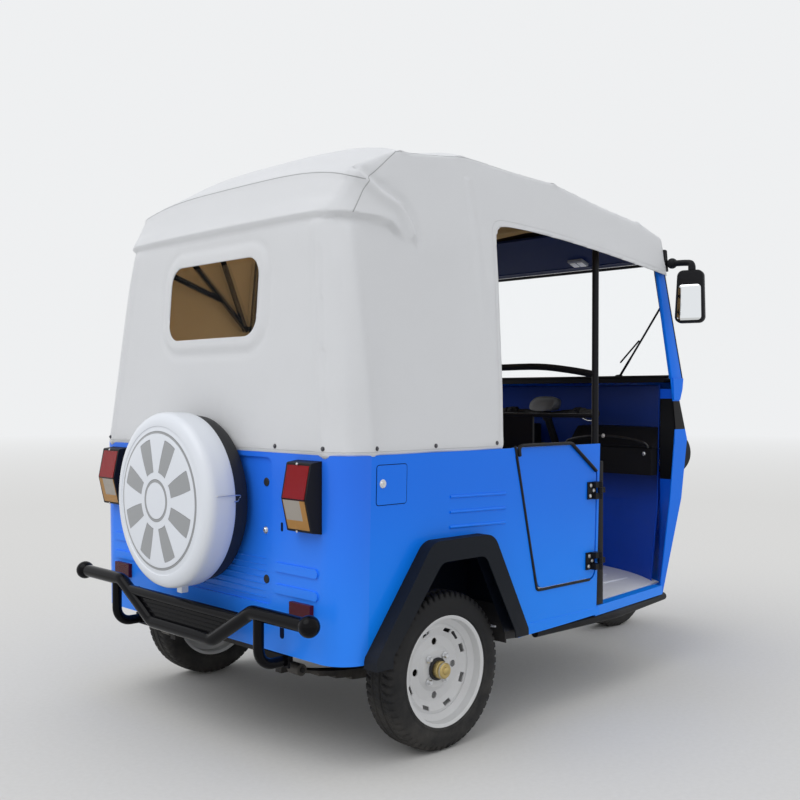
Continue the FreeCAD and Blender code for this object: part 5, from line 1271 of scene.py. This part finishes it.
# Mirrors. A stout bracket and ball on each pillar carry a thick arm, and the housing hangs from it,
# turned a little outwards, with convex glass over its lower two thirds.
mirror_glass = new_finish("mirror_glass", (0.80, 0.82, 0.83, 1.0), 0.03, shade=0.05, grain=40.0, depth=0.05,
                          step=0.0002, Metallic=1.0)
mirror_x, mirror_y, mirror_height = 1.345, 0.700, 1.459
mirror_turn = math.radians(17)
mirror_tip = math.radians(4)
ball_radius = 0.021
ball_profile = [(-ball_radius * math.cos(math.pi * k / 12), ball_radius * math.sin(math.pi * k / 12))
                for k in range(13)]
housings = []
glasses = []
for side in (-1, 1):
    middle = place(mirror_x, side * mirror_y, mirror_height)
    rearward = Vector((-math.cos(mirror_turn), side * math.sin(mirror_turn), math.sin(mirror_tip)))
    rearward.normalize()
    sideways = Vector((0, 0, 1)).cross(rearward).normalized() * -side
    upright = rearward.cross(sideways)
    upright *= math.copysign(1, upright.z)

    def on_mirror(p, height, middle=middle, rearward=rearward, sideways=sideways, upright=upright):
        return middle + sideways * p.x + upright * p.y + rearward * height

    outline = round_outline([(-0.058, -0.103), (0.058, -0.103), (0.050, 0.103), (-0.050, 0.103)], 0.024, 6)
    housings.append(slab(outline, on_mirror, [(0.020, -0.026), (0.006, -0.022), (0.0, -0.010), (0, 0.012),
                                              (0.003, 0.0165), (0.009, 0.0172)]))
    outline = round_outline([(-0.047, -0.094), (0.047, -0.094), (0.0425, 0.045), (-0.0425, 0.045)], 0.014, 6)
    glasses.append(slab(outline, on_mirror, [(0, 0.0165), (0, 0.0178), (0.004, 0.0188), (0.012, 0.0198)]))
    ball = lathe(ball_profile, place(1.3560, side * 0.612, 1.597), (0, side, 0), 20)
    plate = [Vector(p) for p in ((1.330, 1.575), (1.362, 1.567), (1.352, 1.650), (1.336, 1.652))]
    foot = slab(plate, lambda p, height, side=side: place(p.x, side * (0.577 + height), p.y),
                [(0, 0.001), (0, 0.012), (0.003, 0.016)])
    arm = bar(smooth_line([place(1.3560, side * 0.600, 1.597), place(1.3570, side * 0.632, 1.596),
                           place(1.3560, side * 0.672, 1.594), place(1.3530, side * 0.698, 1.588),
                           place(1.3500, side * 0.703, 1.562)], 5), 0.0145, sides=16, flat=0.85)
    housings += [ball, foot, arm]
mirror_piece = make("mirror_housings", housings, black_plastic, "vehicle", sharp=35.0)
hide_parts("mirrors")
make("mirror_glass", glasses, mirror_glass, "vehicle", sharp=60.0)

# Headlamps and indicators. A fluted glass lens over a bright bowl is clamped in each bezel, and a
# small amber plastic lamp is fixed on either side of the nose.
lamp_glass = new_finish("lamp_glass", (0.66, 0.69, 0.71, 1.0), 0.07, shade=0.2, Metallic=0.45,
                        Coat_Weight=0.8)
add_flutes(lamp_glass, 42.0, 0.003)
dress(lamp_glass, "headlamps")
amber_lens = new_finish("amber_lens", (0.72, 0.22, 0.010, 1.0), 0.14, shade=0.2, grain=260.0, depth=0.8,
                        step=0.001, Coat_Weight=0.5)
dress(amber_lens, "front_indicators")

# Seats. Foam cushions in grained black vinyl, each swollen against its cover, with sewn channels
# across the top and a piping cord round the edge.
seat_vinyl = new_finish("seat_vinyl", (0.011, 0.011, 0.013, 1.0), 0.46, shade=0.4, grain=700.0, depth=1.0,
                        step=0.0006, Specular_IOR_Level=0.4)


def read_points(mesh):
    co = np.zeros(len(mesh.vertices) * 3)
    mesh.vertices.foreach_get("co", co)
    return co.reshape(-1, 3)


def write_points(mesh, points):
    mesh.vertices.foreach_set("co", points.ravel())
    mesh.update()


def remeshed(mesh, size):
    # The same closed form in even faces of about this size.
    thing = new_object("form", mesh)
    step = thing.modifiers.new("even", "REMESH")
    step.mode = "VOXEL"
    step.voxel_size = size
    bpy.context.view_layer.update()
    return applied(thing, mesh.name)


def swollen(mesh, cap, frames=20):
    # Cloth under pressure; no point moves further than the cap.
    before = read_points(mesh)
    thing = new_object("swelling", mesh)
    swell = thing.modifiers.new("swell", "CLOTH")
    swell.settings.use_pressure = True
    swell.settings.uniform_pressure_force = 4.0
    swell.settings.effector_weights.gravity = 0.0
    swell.settings.quality = 4
    swell.point_cache.frame_start = 1
    swell.point_cache.frame_end = frames
    for number in range(1, frames + 1):
        bpy.context.scene.frame_set(number)
    mesh = applied(thing, mesh.name)
    bpy.context.scene.frame_set(1)
    way = read_points(mesh) - before
    far = np.linalg.norm(way, axis=1, keepdims=True)
    write_points(mesh, before + way * np.minimum(1.0, cap / np.maximum(far, 1e-9)))
    return mesh


def bevelled_box(low, high, corner):
    # A box between two corners with round edges.
    bm = bmesh.new()
    bmesh.ops.create_cube(bm, size=1.0)
    for v in bm.verts:
        v.co = Vector([a + (b - a) * (c + 0.5) for a, b, c in zip(low, high, v.co)])
    bmesh.ops.bevel(bm, geom=bm.edges[:], offset=corner, segments=4, profile=0.6, affect="EDGES")
    mesh = bpy.data.meshes.new("cushion_form")
    bm.to_mesh(mesh)
    bm.free()
    return mesh


def cushion(name, low, high, corner, voxel, cap, face, channels, lean=None):
    # low and high are the pad's corners; face is the axis of its sat-on side, and channels run
    # across it at these shares of its width.
    inset = cap * 0.7
    a = Vector([c + inset for c in low])
    b = Vector([c - inset for c in high])
    mesh = remeshed(bevelled_box(a, b, corner), voxel)
    mesh = swollen(mesh, cap)
    points = read_points(mesh)
    axis = 2 if face == "z" else 0
    across = (points[:, 1] - low[1]) / (high[1] - low[1])
    depth_share = (points[:, axis] - low[axis]) / (high[axis] - low[axis])
    for share in channels:
        away = (across - share) * (high[1] - low[1])
        points[:, axis] -= 0.010 * np.exp(-(away / 0.009) ** 2) * np.clip(depth_share * 2.4 - 1.2, 0, 1)
    points = np.clip(points, np.array(low) + 0.0006, np.array(high) + 0.004)
    if lean:
        points = lean(points)
    write_points(mesh, points)
    thing = new_object(name + "_form", mesh)
    finer = thing.modifiers.new("finer", "SUBSURF")
    finer.levels = finer.render_levels = 1
    bpy.context.view_layer.update()
    mesh = applied(thing, name)
    mesh.shade_smooth()
    mesh.materials.clear()
    mesh.materials.append(seat_vinyl)
    piece = new_object(name, mesh)
    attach(piece, "vehicle")
    return piece


def piping(name, low, high, corner, height):
    # A thin cord sewn round the upper edge of a cushion.
    outline = round_outline(rectangle(low[0], high[0], low[1], high[1]), corner, 8)
    line = [Vector((p.x, p.y, height)) for p in outline]
    make(name, [bar(line + line[:2], 0.0035, sides=8, ends=False)], seat_vinyl, "vehicle",
         sharp=60.0)


driver_seat = cushion("driver_cushion", place(0.841, -0.229, 0.6005), place(1.149, 0.229, 0.679),
                      0.026, 0.0075, 0.012, "z", (0.25, 0.5, 0.75))
cushion("driver_back_pad", place(0.8075, -0.219, 0.802), place(0.866, 0.219, 1.009),
        0.020, 0.0075, 0.010, "x", (0.3333, 0.6667))
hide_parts("driver_cushions")
bench = cushion("bench_cushion", place(-0.214, -0.589, 0.6205), place(0.289, 0.589, 0.734),
                0.032, 0.012, 0.016, "z", (0.3333, 0.6667))


def lean_back(points):
    # The bench back leans: it follows the seat box's slope behind it.
    share = np.clip((points[:, 2] - 0.735) / (1.150 - 0.735), 0, 1)
    points[:, 0] -= 0.040 * share
    return points


cushion("bench_back_pad", place(-0.292, -0.559, 0.6215), place(-0.2165, 0.559, 1.149),
        0.026, 0.012, 0.012, "x", (0.3333, 0.6667), lean=lean_back)
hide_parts("bench_cushions")
piping("driver_cushion_piping", place(0.849, -0.221, 0), place(1.141, 0.221, 0), 0.028, 0.664)
piping("bench_cushion_piping", place(-0.203, -0.578, 0), place(0.279, 0.578, 0), 0.034, 0.716)

# Canopy. One sheet of coated canvas drawn over the steel bows: a soft hood over the passengers
# that runs forward over the cab. It is cut for the side openings and the rear window, creased
# along the rear bows, folded over at the rear corners and lined with tan cloth.
crest = ((-0.421, 0.905), (-0.372, 1.600), (-0.300, 1.760), (-0.100, 1.846), (0.230, 1.884),
         (0.680, 1.858), (1.230, 1.772), (1.365, 1.728))
hem_height = 0.897
belt_half_width = 0.693
eave_half_width = 0.600
eave_height = 1.560
seam_half_width = 0.548
seam_height = 1.836
roof_crown = 0.034
canopy_front = 1.350
rear_foot = -0.423
rear_lean = 0.050 / 0.695
plan_corner = 0.105
opening_rear = 0.234
opening_top = 1.643
opening_brow = ((1.262, 1.559), (0.62, 1.642))
opening_round = 0.022
tail_end = -0.30
upper_seam_height = 1.752
upper_seam_fall = 0.026
cloth_step = 0.0102
bow_places = (-0.076, 0.200, 0.680, 1.200)
button_sides = (-0.306, -0.065, 0.211)
button_tail = (-0.600, -0.375, -0.130, 0.130, 0.375, 0.600)
button_height = 0.924


def crest_z(x):
    return np.interp(x, [p[0] for p in crest[1:]], [p[1] for p in crest[1:]])


def wall_half_width(z):
    return np.interp(z, [hem_height, eave_height, seam_height, 1.95],
                     [belt_half_width, eave_half_width, seam_half_width, 0.500])


def roof_z(x, y):
    # The crest's height, raised over the two rear bows and rounded off towards the seams.
    share = min(abs(y) / seam_half_width, 1.0)
    lift = 0.021 * math.exp(-((x + 0.135) / 0.095) ** 2) + 0.016 * math.exp(-((x - 0.130) / 0.170) ** 2)
    crown = roof_crown * share ** 3.2 * (1.0 if x > -0.35 else 0.5)
    return float(crest_z(x)) + lift * (1 - share ** 6) - crown


def upper_seam_z(beside):
    # The seam across the tail's hood sinks a little towards its ends.
    return upper_seam_height - upper_seam_fall * (beside / 0.5) ** 4


def canopy_block():
    # The closed outer form, as rings of the plan outline that rise to the roof, and lines across it.
    turns = 10
    sides = 48
    half_rear = 12
    middle = sides + turns + half_rear
    rings = []
    for level in range(31):
        share = level / 30
        ring = []
        for i in range(2 * middle + 1):
            k = i if i <= middle else 2 * middle - i
            mirror = 1.0 if i <= middle else -1.0
            z = hem_height
            for _ in range(3):
                rear = rear_foot + rear_lean * (min(z, 1.9) - 0.905)
                half = float(wall_half_width(z))
                if k <= sides:
                    x = canopy_front + (rear + plan_corner - canopy_front) * k / sides
                    y = half
                elif k <= sides + turns:
                    a = math.pi / 2 * (k - sides) / turns
                    x = rear + plan_corner * (1 - math.sin(a))
                    y = half - plan_corner * (1 - math.cos(a))
                else:
                    x = rear
                    y = (half - plan_corner) * (1 - (k - sides - turns) / half_rear)
                z = hem_height + (roof_z(x, y) - hem_height) * share
            ring.append((x, y * mirror, z))
        rings.append(ring)
    verts = [p for ring in rings for p in ring]
    width = len(rings[0])
    faces = grid_faces(len(rings), width)
    last = list(range((len(rings) - 1) * width, len(rings) * width))
    columns = [last[:middle + 1]]
    other = last[middle:][::-1]
    for row in range(1, 14):
        line = []
        for a, b in zip(columns[0], other):
            pa, pb = Vector(verts[a]), Vector(verts[b])
            p = pa.lerp(pb, row / 14)
            if (pa - pb).length < 1e-6:
                line.append(a)
            else:
                verts.append((p.x, p.y, roof_z(p.x, p.y)))
                line.append(len(verts) - 1)
        columns.append(line)
    columns.append(other)
    for c0, c1 in zip(columns, columns[1:]):
        for i in range(len(c0) - 1):
            quad = [c0[i], c1[i], c1[i + 1], c0[i + 1]]
            quad = [v for n, v in enumerate(quad) if v not in quad[:n]]
            if len(quad) > 2:
                faces.append(quad)
    faces.append(list(range(width)))
    front = [j * width for j in range(len(rings))] + [c[0] for c in columns[1:]]
    front += [j * width + width - 1 for j in range(len(rings) - 2, -1, -1)]
    faces.append(front)
    mesh = new_mesh("canopy_form", verts, faces)
    bm = bmesh.new()
    bm.from_mesh(mesh)
    bmesh.ops.remove_doubles(bm, verts=bm.verts, dist=1e-5)
    bmesh.ops.recalc_face_normals(bm, faces=bm.faces)
    bm.to_mesh(mesh)
    bm.free()
    return mesh


def smooth_points(mesh, points, rounds, weight=0.5):
    # Moves each vertex towards the middle of its neighbours.
    ends = np.zeros(len(mesh.edges) * 2, int)
    mesh.edges.foreach_get("vertices", ends)
    a, b = ends.reshape(-1, 2).T
    size = len(points)
    here = np.concatenate([a, b])
    there = np.concatenate([b, a])
    count = np.bincount(here, minlength=size)
    for _ in range(rounds):
        total = np.stack([np.bincount(here, weights=points[there, k], minlength=size) for k in range(3)],
                         axis=1)
        points = points + weight * (total / count[:, None] - points)
    return points


cloth = remeshed(canopy_block(), cloth_step)
points = smooth_points(cloth, read_points(cloth), 6)
write_points(cloth, points)
normals = np.zeros(len(points) * 3)
cloth.vertex_normals.foreach_get("vector", normals)
normals = normals.reshape(-1, 3)
x, y, z = points.T
beside = np.abs(y)


def line_distance(u, v, line):
    # Distance to a drawn line, positive above it.
    best = np.full(len(u), 9.0)
    for (u0, v0), (u1, v1) in zip(line, line[1:]):
        du, dv = u1 - u0, v1 - v0
        length = math.hypot(du, dv)
        share = np.clip(((u - u0) * du + (v - v0) * dv) / length ** 2, 0, 1)
        away = np.hypot(u - u0 - share * du, v - v0 - share * dv)
        sign = np.sign((du * (v - v0) - dv * (u - u0)) / length)
        best = np.where(away < np.abs(best), away * np.where(sign == 0, 1, sign), best)
    return best


def bell(distance, width):
    # One on a line, and falling off softly on both sides of it.
    return np.exp(-(distance / width) ** 2)


def overhang(distance, size, above, below):
    # Cloth folded over an edge: proud above the line, drawn in under it.
    out = np.where(distance > 0, size * np.exp(-distance / above), -0.45 * size * np.exp(distance / below))
    return out * np.tanh(np.abs(distance) / 0.003)


side_wall = np.clip((beside - 0.46) / 0.05, 0, 1) * (np.abs(normals[:, 1]) > 0.25)
eave_line = ((-0.46, 1.604), (-0.40, 1.600), (-0.35, 1.592), (-0.25, 1.588), (-0.175, 1.583),
             (-0.128, 1.549))
fold_line = ((-0.27, 1.715), (-0.20, 1.668), (-0.12, 1.636), (-0.093, 1.600), (-0.077, 1.557))
eave = line_distance(x, z, eave_line)
fold = line_distance(x, z, fold_line)
reach = np.clip((-0.110 - x) / 0.03, 0, 1)
shift = overhang(eave, 0.0120, 0.055, 0.045) * reach * (z > 1.42)
near_fold = np.clip((x + 0.36) / 0.06, 0, 1) * np.clip((0.0 - x) / 0.05, 0, 1)
shift += side_wall * near_fold * (0.010 * bell(fold, 0.017) - 0.008 * bell(fold - 0.032, 0.016))
shift += 0.0042 * bell(z - upper_seam_z(beside), 0.010) * (x < -0.20) * (beside < 0.56)
for place_x in bow_places:
    shift += 0.0045 * bell(x - place_x, 0.020) * (normals[:, 2] > 0.55)
for a, b in zip(bow_places, bow_places[1:]):
    middle = (a + b) / 2
    shift -= 0.0040 * bell(x - middle, (b - a) * 0.32) * np.clip(normals[:, 2] * 2 - 1, 0, 1)
roof_edge = (seam_half_width - beside) - (crest_z(x) - roof_crown - z)
shift += 0.0038 * bell(roof_edge, 0.012) * (x > -0.25) * (z > 1.60)
wall = side_wall * np.clip((z - 0.95) / 0.15, 0, 1) * np.clip((1.60 - z) / 0.15, 0, 1)
shift += wall * 0.0030 * np.sin(9.0 * x + 1.2 * np.sin(3.0 * z) + 0.6 * np.sign(y))
shift += wall * 0.0016 * np.sin(21.0 * x - 2.0 * z + np.sign(y))
tail_wave = np.clip((-0.36 - x) / 0.02, 0, 1) * np.clip((z - 0.95) / 0.15, 0, 1)
shift += tail_wave * np.clip((1.55 - z) / 0.1, 0, 1) * 0.0025 * np.sin(8.0 * y + 1.4 * z)
shift += 0.0065 * bell(beside - np.interp(z, [0.9, 1.56], [0.602, 0.505]), 0.020) * (x < -0.33) * (z < 1.58)
shift += 0.0065 * bell(x + 0.318, 0.020) * (z < 1.56) * (beside > 0.5)
shift += 0.0045 * bell(x - 0.215, 0.016) * np.clip((z - 1.20) / 0.35, 0, 1) * (z < 1.78) * side_wall
for spread in (-0.55, -0.15, 0.30, 0.75):
    ray = (x + 0.245) * math.sin(spread) - (z - 1.700) * math.cos(spread)
    along_ray = (x + 0.245) * math.cos(spread) + (z - 1.700) * math.sin(spread)
    shift += side_wall * 0.0035 * bell(ray, 0.010) * np.clip(along_ray / 0.03, 0, 1) * np.exp(
        -np.clip(along_ray, 0, 1) / 0.09)


def rounded_box_distance(u, v, half_u, half_v, radius):
    # How far a point is outside a rectangle with round corners; negative inside.
    du = np.abs(u) - (half_u - radius)
    dv = np.abs(v) - (half_v - radius)
    outside = np.hypot(np.maximum(du, 0), np.maximum(dv, 0))
    return outside + np.minimum(np.maximum(du, dv), 0) - radius


def line_side(x, z, a, b):
    # Signed distance to the line from a to b, positive on its left.
    dx, dz = b[0] - a[0], b[1] - a[1]
    return (dx * (z - a[1]) - dz * (x - a[0])) / math.hypot(dx, dz)


def opening_depth(x, z):
    # How far a point lies inside the side opening; negative outside.
    rear = line_side(x, z, (opening_rear + 0.082, 1.62), (opening_rear, 0.85))
    top = line_side(x, z, (0.62, opening_top), (0.20, opening_top))
    front = line_side(x, z, *opening_brow)
    values = np.stack([rear, top, front])
    return -opening_round * np.log(np.sum(np.exp(-values / opening_round), axis=0))


window_centre = 1.378
window_half = (0.250, 0.1225)
window_corner = 0.060
window_gap = rounded_box_distance(y, z - window_centre, *window_half, window_corner)
welt = 0.0045 * bell(np.maximum(window_gap - 0.022, 0), 0.016) * (window_gap > -0.02)
shift += (x < tail_end) * (welt - 0.0030 * bell(window_gap - 0.052, 0.012))
foot_share = np.clip((0.945 - z) / 0.045, 0, 1)
scallop = 0.5 - 0.5 * np.cos(2 * math.pi * (x - 0.073) / 0.27)
points = points + normals * shift[:, None]
points[:, 2] += foot_share * 0.006 * scallop * (normals[:, 2] > -0.7)
x, y, z = points.T
window_gap = rounded_box_distance(y, z - window_centre, *window_half, window_corner)
window_depth = np.where(x < tail_end, -window_gap, -1.0)
side_depth = np.where(np.abs(y) > 0.45, opening_depth(x, z), -1.0)
edge_gap = np.minimum(np.abs(side_depth), np.maximum(z - hem_height, 0))


def only_where(distance, here):
    # Keeps a signed distance in one region and moves it far off elsewhere, on its own side.
    return np.where(here, distance, np.where(distance < 0, -1.0, 1.0))


beside = np.abs(y)
roof_seam = np.where(x > -0.093, (seam_half_width - beside) - (crest_z(x) - roof_crown - z),
                     z - 1.709 - (x + 0.235) * 0.76)
seams = np.stack([
    only_where(roof_seam, (x > -0.246) & (z > 1.60) & (beside > 0.45)),
    only_where(z - upper_seam_z(beside), (x < -0.205) & (x + 0.9 * beside < 0.280)),
    only_where(line_distance(x, z, ((-0.228, 1.7145), (-0.318, 1.588))),
               (beside > 0.46) & (x < -0.226) & (z > 1.590) & (z < 1.716))], axis=1)


def clear_and_snap(bm, depth, gradient):
    # Takes out the faces that lie inside a cut-out and draws the rest of the edge onto its line.
    bm.verts.ensure_lookup_table()
    gone = set(f for f in bm.faces if all(depth[v.index] > 0 for v in f.verts))
    edge = set(v.index for f in gone for v in f.verts)
    kept = set(v.index for f in bm.faces if f not in gone for v in f.verts)
    for i in edge & kept:
        bm.verts[i].co -= Vector(gradient(i)) * depth[i]
    for i in kept - edge:
        if depth[i] > 0:
            bm.verts[i].co -= Vector(gradient(i)) * depth[i]
            depth[i] = 0.0
    return gone


def side_gradient(i):
    px, py, pz = points[i]
    e = 0.002
    gx = (opening_depth(px + e, pz) - opening_depth(px - e, pz)) / (2 * e)
    gz = (opening_depth(px, pz + e) - opening_depth(px, pz - e)) / (2 * e)
    return float(gx), float(-np.sign(py) * 0.16 * gz), float(gz)


def window_gradient(i):
    px, py, pz = points[i]
    e = 0.002

    def inside(v, w):
        return -float(rounded_box_distance(v, w - window_centre, *window_half, window_corner))

    gy = (inside(py + e, pz) - inside(py - e, pz)) / (2 * e)
    gz = (inside(py, pz + e) - inside(py, pz - e)) / (2 * e)
    return rear_lean * gz, gy, gz


bm = bmesh.new()
bm.from_mesh(cloth)
bm.verts.ensure_lookup_table()
edge_layer = bm.verts.layers.float.new("edge_gap")
seam_layer = bm.verts.layers.float_vector.new("seams")
for i, v in enumerate(bm.verts):
    v.co = points[i]
    v[edge_layer] = edge_gap[i]
    v[seam_layer] = seams[i]
bm.normal_update()
gone = set(f for f in bm.faces if f.normal.z < -0.7 and f.calc_center_median().z < hem_height + 0.03)
gone |= set(f for f in bm.faces if f.normal.x > 0.8 and f.calc_center_median().x > canopy_front - 0.04)
gone |= clear_and_snap(bm, side_depth, side_gradient)
gone |= clear_and_snap(bm, window_depth, window_gradient)
bmesh.ops.delete(bm, geom=list(gone), context="FACES")
cloth_map = bm.loops.layers.uv.new("cloth")
bm.normal_update()
for f in bm.faces:
    way = [abs(c) for c in f.normal]
    for loop in f.loops:
        c = loop.vert.co
        if way[1] >= max(way[0], way[2]):
            loop[cloth_map].uv = (c.x, c.z)
        elif way[2] >= way[0]:
            loop[cloth_map].uv = (c.x, c.y)
        else:
            loop[cloth_map].uv = (c.y, c.z)
for v in bm.verts:
    v.co.x += rear_axle_x
bm.to_mesh(cloth)
bm.free()

weave_group, takes, gives = new_group(
    "canvas_weave",
    [("Threads", "number", 4200.0), ("Soil", "number", 0.05)],
    [("Height", "number"), ("Tone", "number"), ("Stitch", "number")])
cloth_uv = put(weave_group, "ShaderNodeUVMap", uv_map="cloth")
threads = put(weave_group, "ShaderNodeVectorMath", {0: cloth_uv.outputs[0], 3: takes.outputs["Threads"]},
              operation="SCALE")
parts = put(weave_group, "ShaderNodeSeparateXYZ", {0: threads.outputs[0]})
warp = calc(weave_group, "SINE", parts.outputs["X"])
weft = calc(weave_group, "SINE", parts.outputs["Y"])
slubs = put(weave_group, "ShaderNodeTexNoise", {"Vector": cloth_uv.outputs[0], "Scale": 90.0, "Detail": 4.0})
woven = calc(weave_group, "ADD", times(weave_group, warp, weft), slubs.outputs["Fac"])
link(weave_group, woven, gives, "Height")
edge_away = put(weave_group, "ShaderNodeAttribute", attribute_name="edge_gap")
seam_away = put(weave_group, "ShaderNodeAttribute", attribute_name="seams")
hem_stitch = band(weave_group, edge_away.outputs["Fac"], 0.0160, 0.0176, 0.0006)
unsigned = put(weave_group, "ShaderNodeVectorMath", {0: seam_away.outputs["Vector"]}, operation="ABSOLUTE")
apart = put(weave_group, "ShaderNodeSeparateXYZ", {0: unsigned.outputs[0]})
nearest = calc(weave_group, "MINIMUM", apart.outputs["X"], apart.outputs["Y"])
nearest = calc(weave_group, "MINIMUM", nearest, apart.outputs["Z"])
seam_stitch = soft_step(weave_group, nearest, 0.0019, 0.0009)
link(weave_group, larger(weave_group, hem_stitch, seam_stitch), gives, "Stitch")
grime = put(weave_group, "ShaderNodeTexNoise", {"Vector": cloth_uv.outputs[0], "Scale": 2.6, "Detail": 6.0})
dull = times(weave_group, grime.outputs["Fac"], takes.outputs["Soil"])
# Painted shade: the seam lines are darkened for the shade in their grooves, and the hem stitch line is a
# little darker.
seam_shade_and_hem_stitch = calc(weave_group, "MULTIPLY_ADD", seam_stitch, 0.42, times(weave_group, hem_stitch, 0.06))
dull = calc(weave_group, "ADD", dull, seam_shade_and_hem_stitch)
link(weave_group, calc(weave_group, "SUBTRACT", 1.0, dull), gives, "Tone")


def new_cloth(name, colour, roughness, soil, glow=0.0):
    # Woven cloth with its seams and hem stitches, the seams darkened with painted shade; a thin one gets a
    # painted glow in its own colour.
    made = bpy.data.materials.new(name)
    made.use_nodes = True
    tree = made.node_tree
    shader = tree.nodes["Principled BSDF"]
    for key, value in (("Roughness", roughness), ("Specular IOR Level", 0.25), ("Sheen Weight", 0.15)):
        shader.inputs[key].default_value = value
    weave = put(tree, "ShaderNodeGroup", {}, node_tree=weave_group)
    weave.inputs["Soil"].default_value = soil
    shaded = put(tree, "ShaderNodeVectorMath", {0: colour[:3], 3: weave.outputs["Tone"]}, operation="SCALE")
    link(tree, shaded.outputs[0], shader, "Base Color")
    # Painted light: the cloth glows in its own colour, though it is no lamp.
    if glow:
        link(tree, shaded.outputs[0], shader, "Emission Color")
        shader.inputs["Emission Strength"].default_value = glow
    grooved = calc(tree, "MULTIPLY_ADD", weave.outputs["Stitch"], -6.0, weave.outputs["Height"])
    bump = put(tree, "ShaderNodeBump", {"Distance": 0.00022, "Height": grooved})
    link(tree, bump.outputs["Normal"], shader, "Normal")
    return made


canopy_cloth = new_cloth("canopy_cloth", (0.715, 0.726, 0.745), 0.60, 0.06)
# The tan liner carries a weak painted glow.
liner_cloth = new_cloth("canopy_liner", (0.74, 0.49, 0.22), 0.85, 0.15, glow=0.07)
cloth.materials.clear()
cloth.materials.append(canopy_cloth)
cloth.materials.append(liner_cloth)
cloth.shade_smooth()
cloth.polygons.foreach_set("material_index", [0] * len(cloth.polygons))
canopy = new_object("canopy_sheet", cloth)
wall = canopy.modifiers.new("cloth thickness", "SOLIDIFY")
wall.thickness = 0.0025
wall.offset = -1.0
wall.material_offset = 1
wall.material_offset_rim = 0
bpy.context.view_layer.update()
mesh = applied(canopy, "canopy_sheet")
canopy = new_object("canopy_sheet", mesh)
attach(canopy, "vehicle")
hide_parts("canopy_body", "canopy_roof")

# Turn buttons. Dark metal studs on thin washers, riveted through the tub along the hem. They hold
# the canvas down at its sides and tail.
stud_metal = new_finish("stud_metal", (0.10, 0.10, 0.11, 1.0), 0.35, shade=0.3, grain=600.0, Metallic=0.7)
skin_tree = BVHTree.FromPolygons([v.co for v in mesh.vertices], [p.vertices for p in mesh.polygons])


def on_cloth(start, way):
    # Where a line meets the cloth, and the way out of it there.
    point, normal = skin_tree.ray_cast(Vector(start), Vector(way))[:2]
    return point, -Vector(way) * 0.4 + (normal if normal.dot(Vector(way)) < 0 else -normal)


buttons = [on_cloth(place(x, side * 0.9, button_height), (0, -side, 0))
           for side in (-1, 1) for x in button_sides]
buttons += [on_cloth(place(-0.7, y, button_height), (1, 0, 0)) for y in button_tail]
button_piece = set_heads("hem_buttons", buttons, stud_metal, "vehicle", radius=0.0042, height=0.006, sides=12,
                         washer=0.0068)
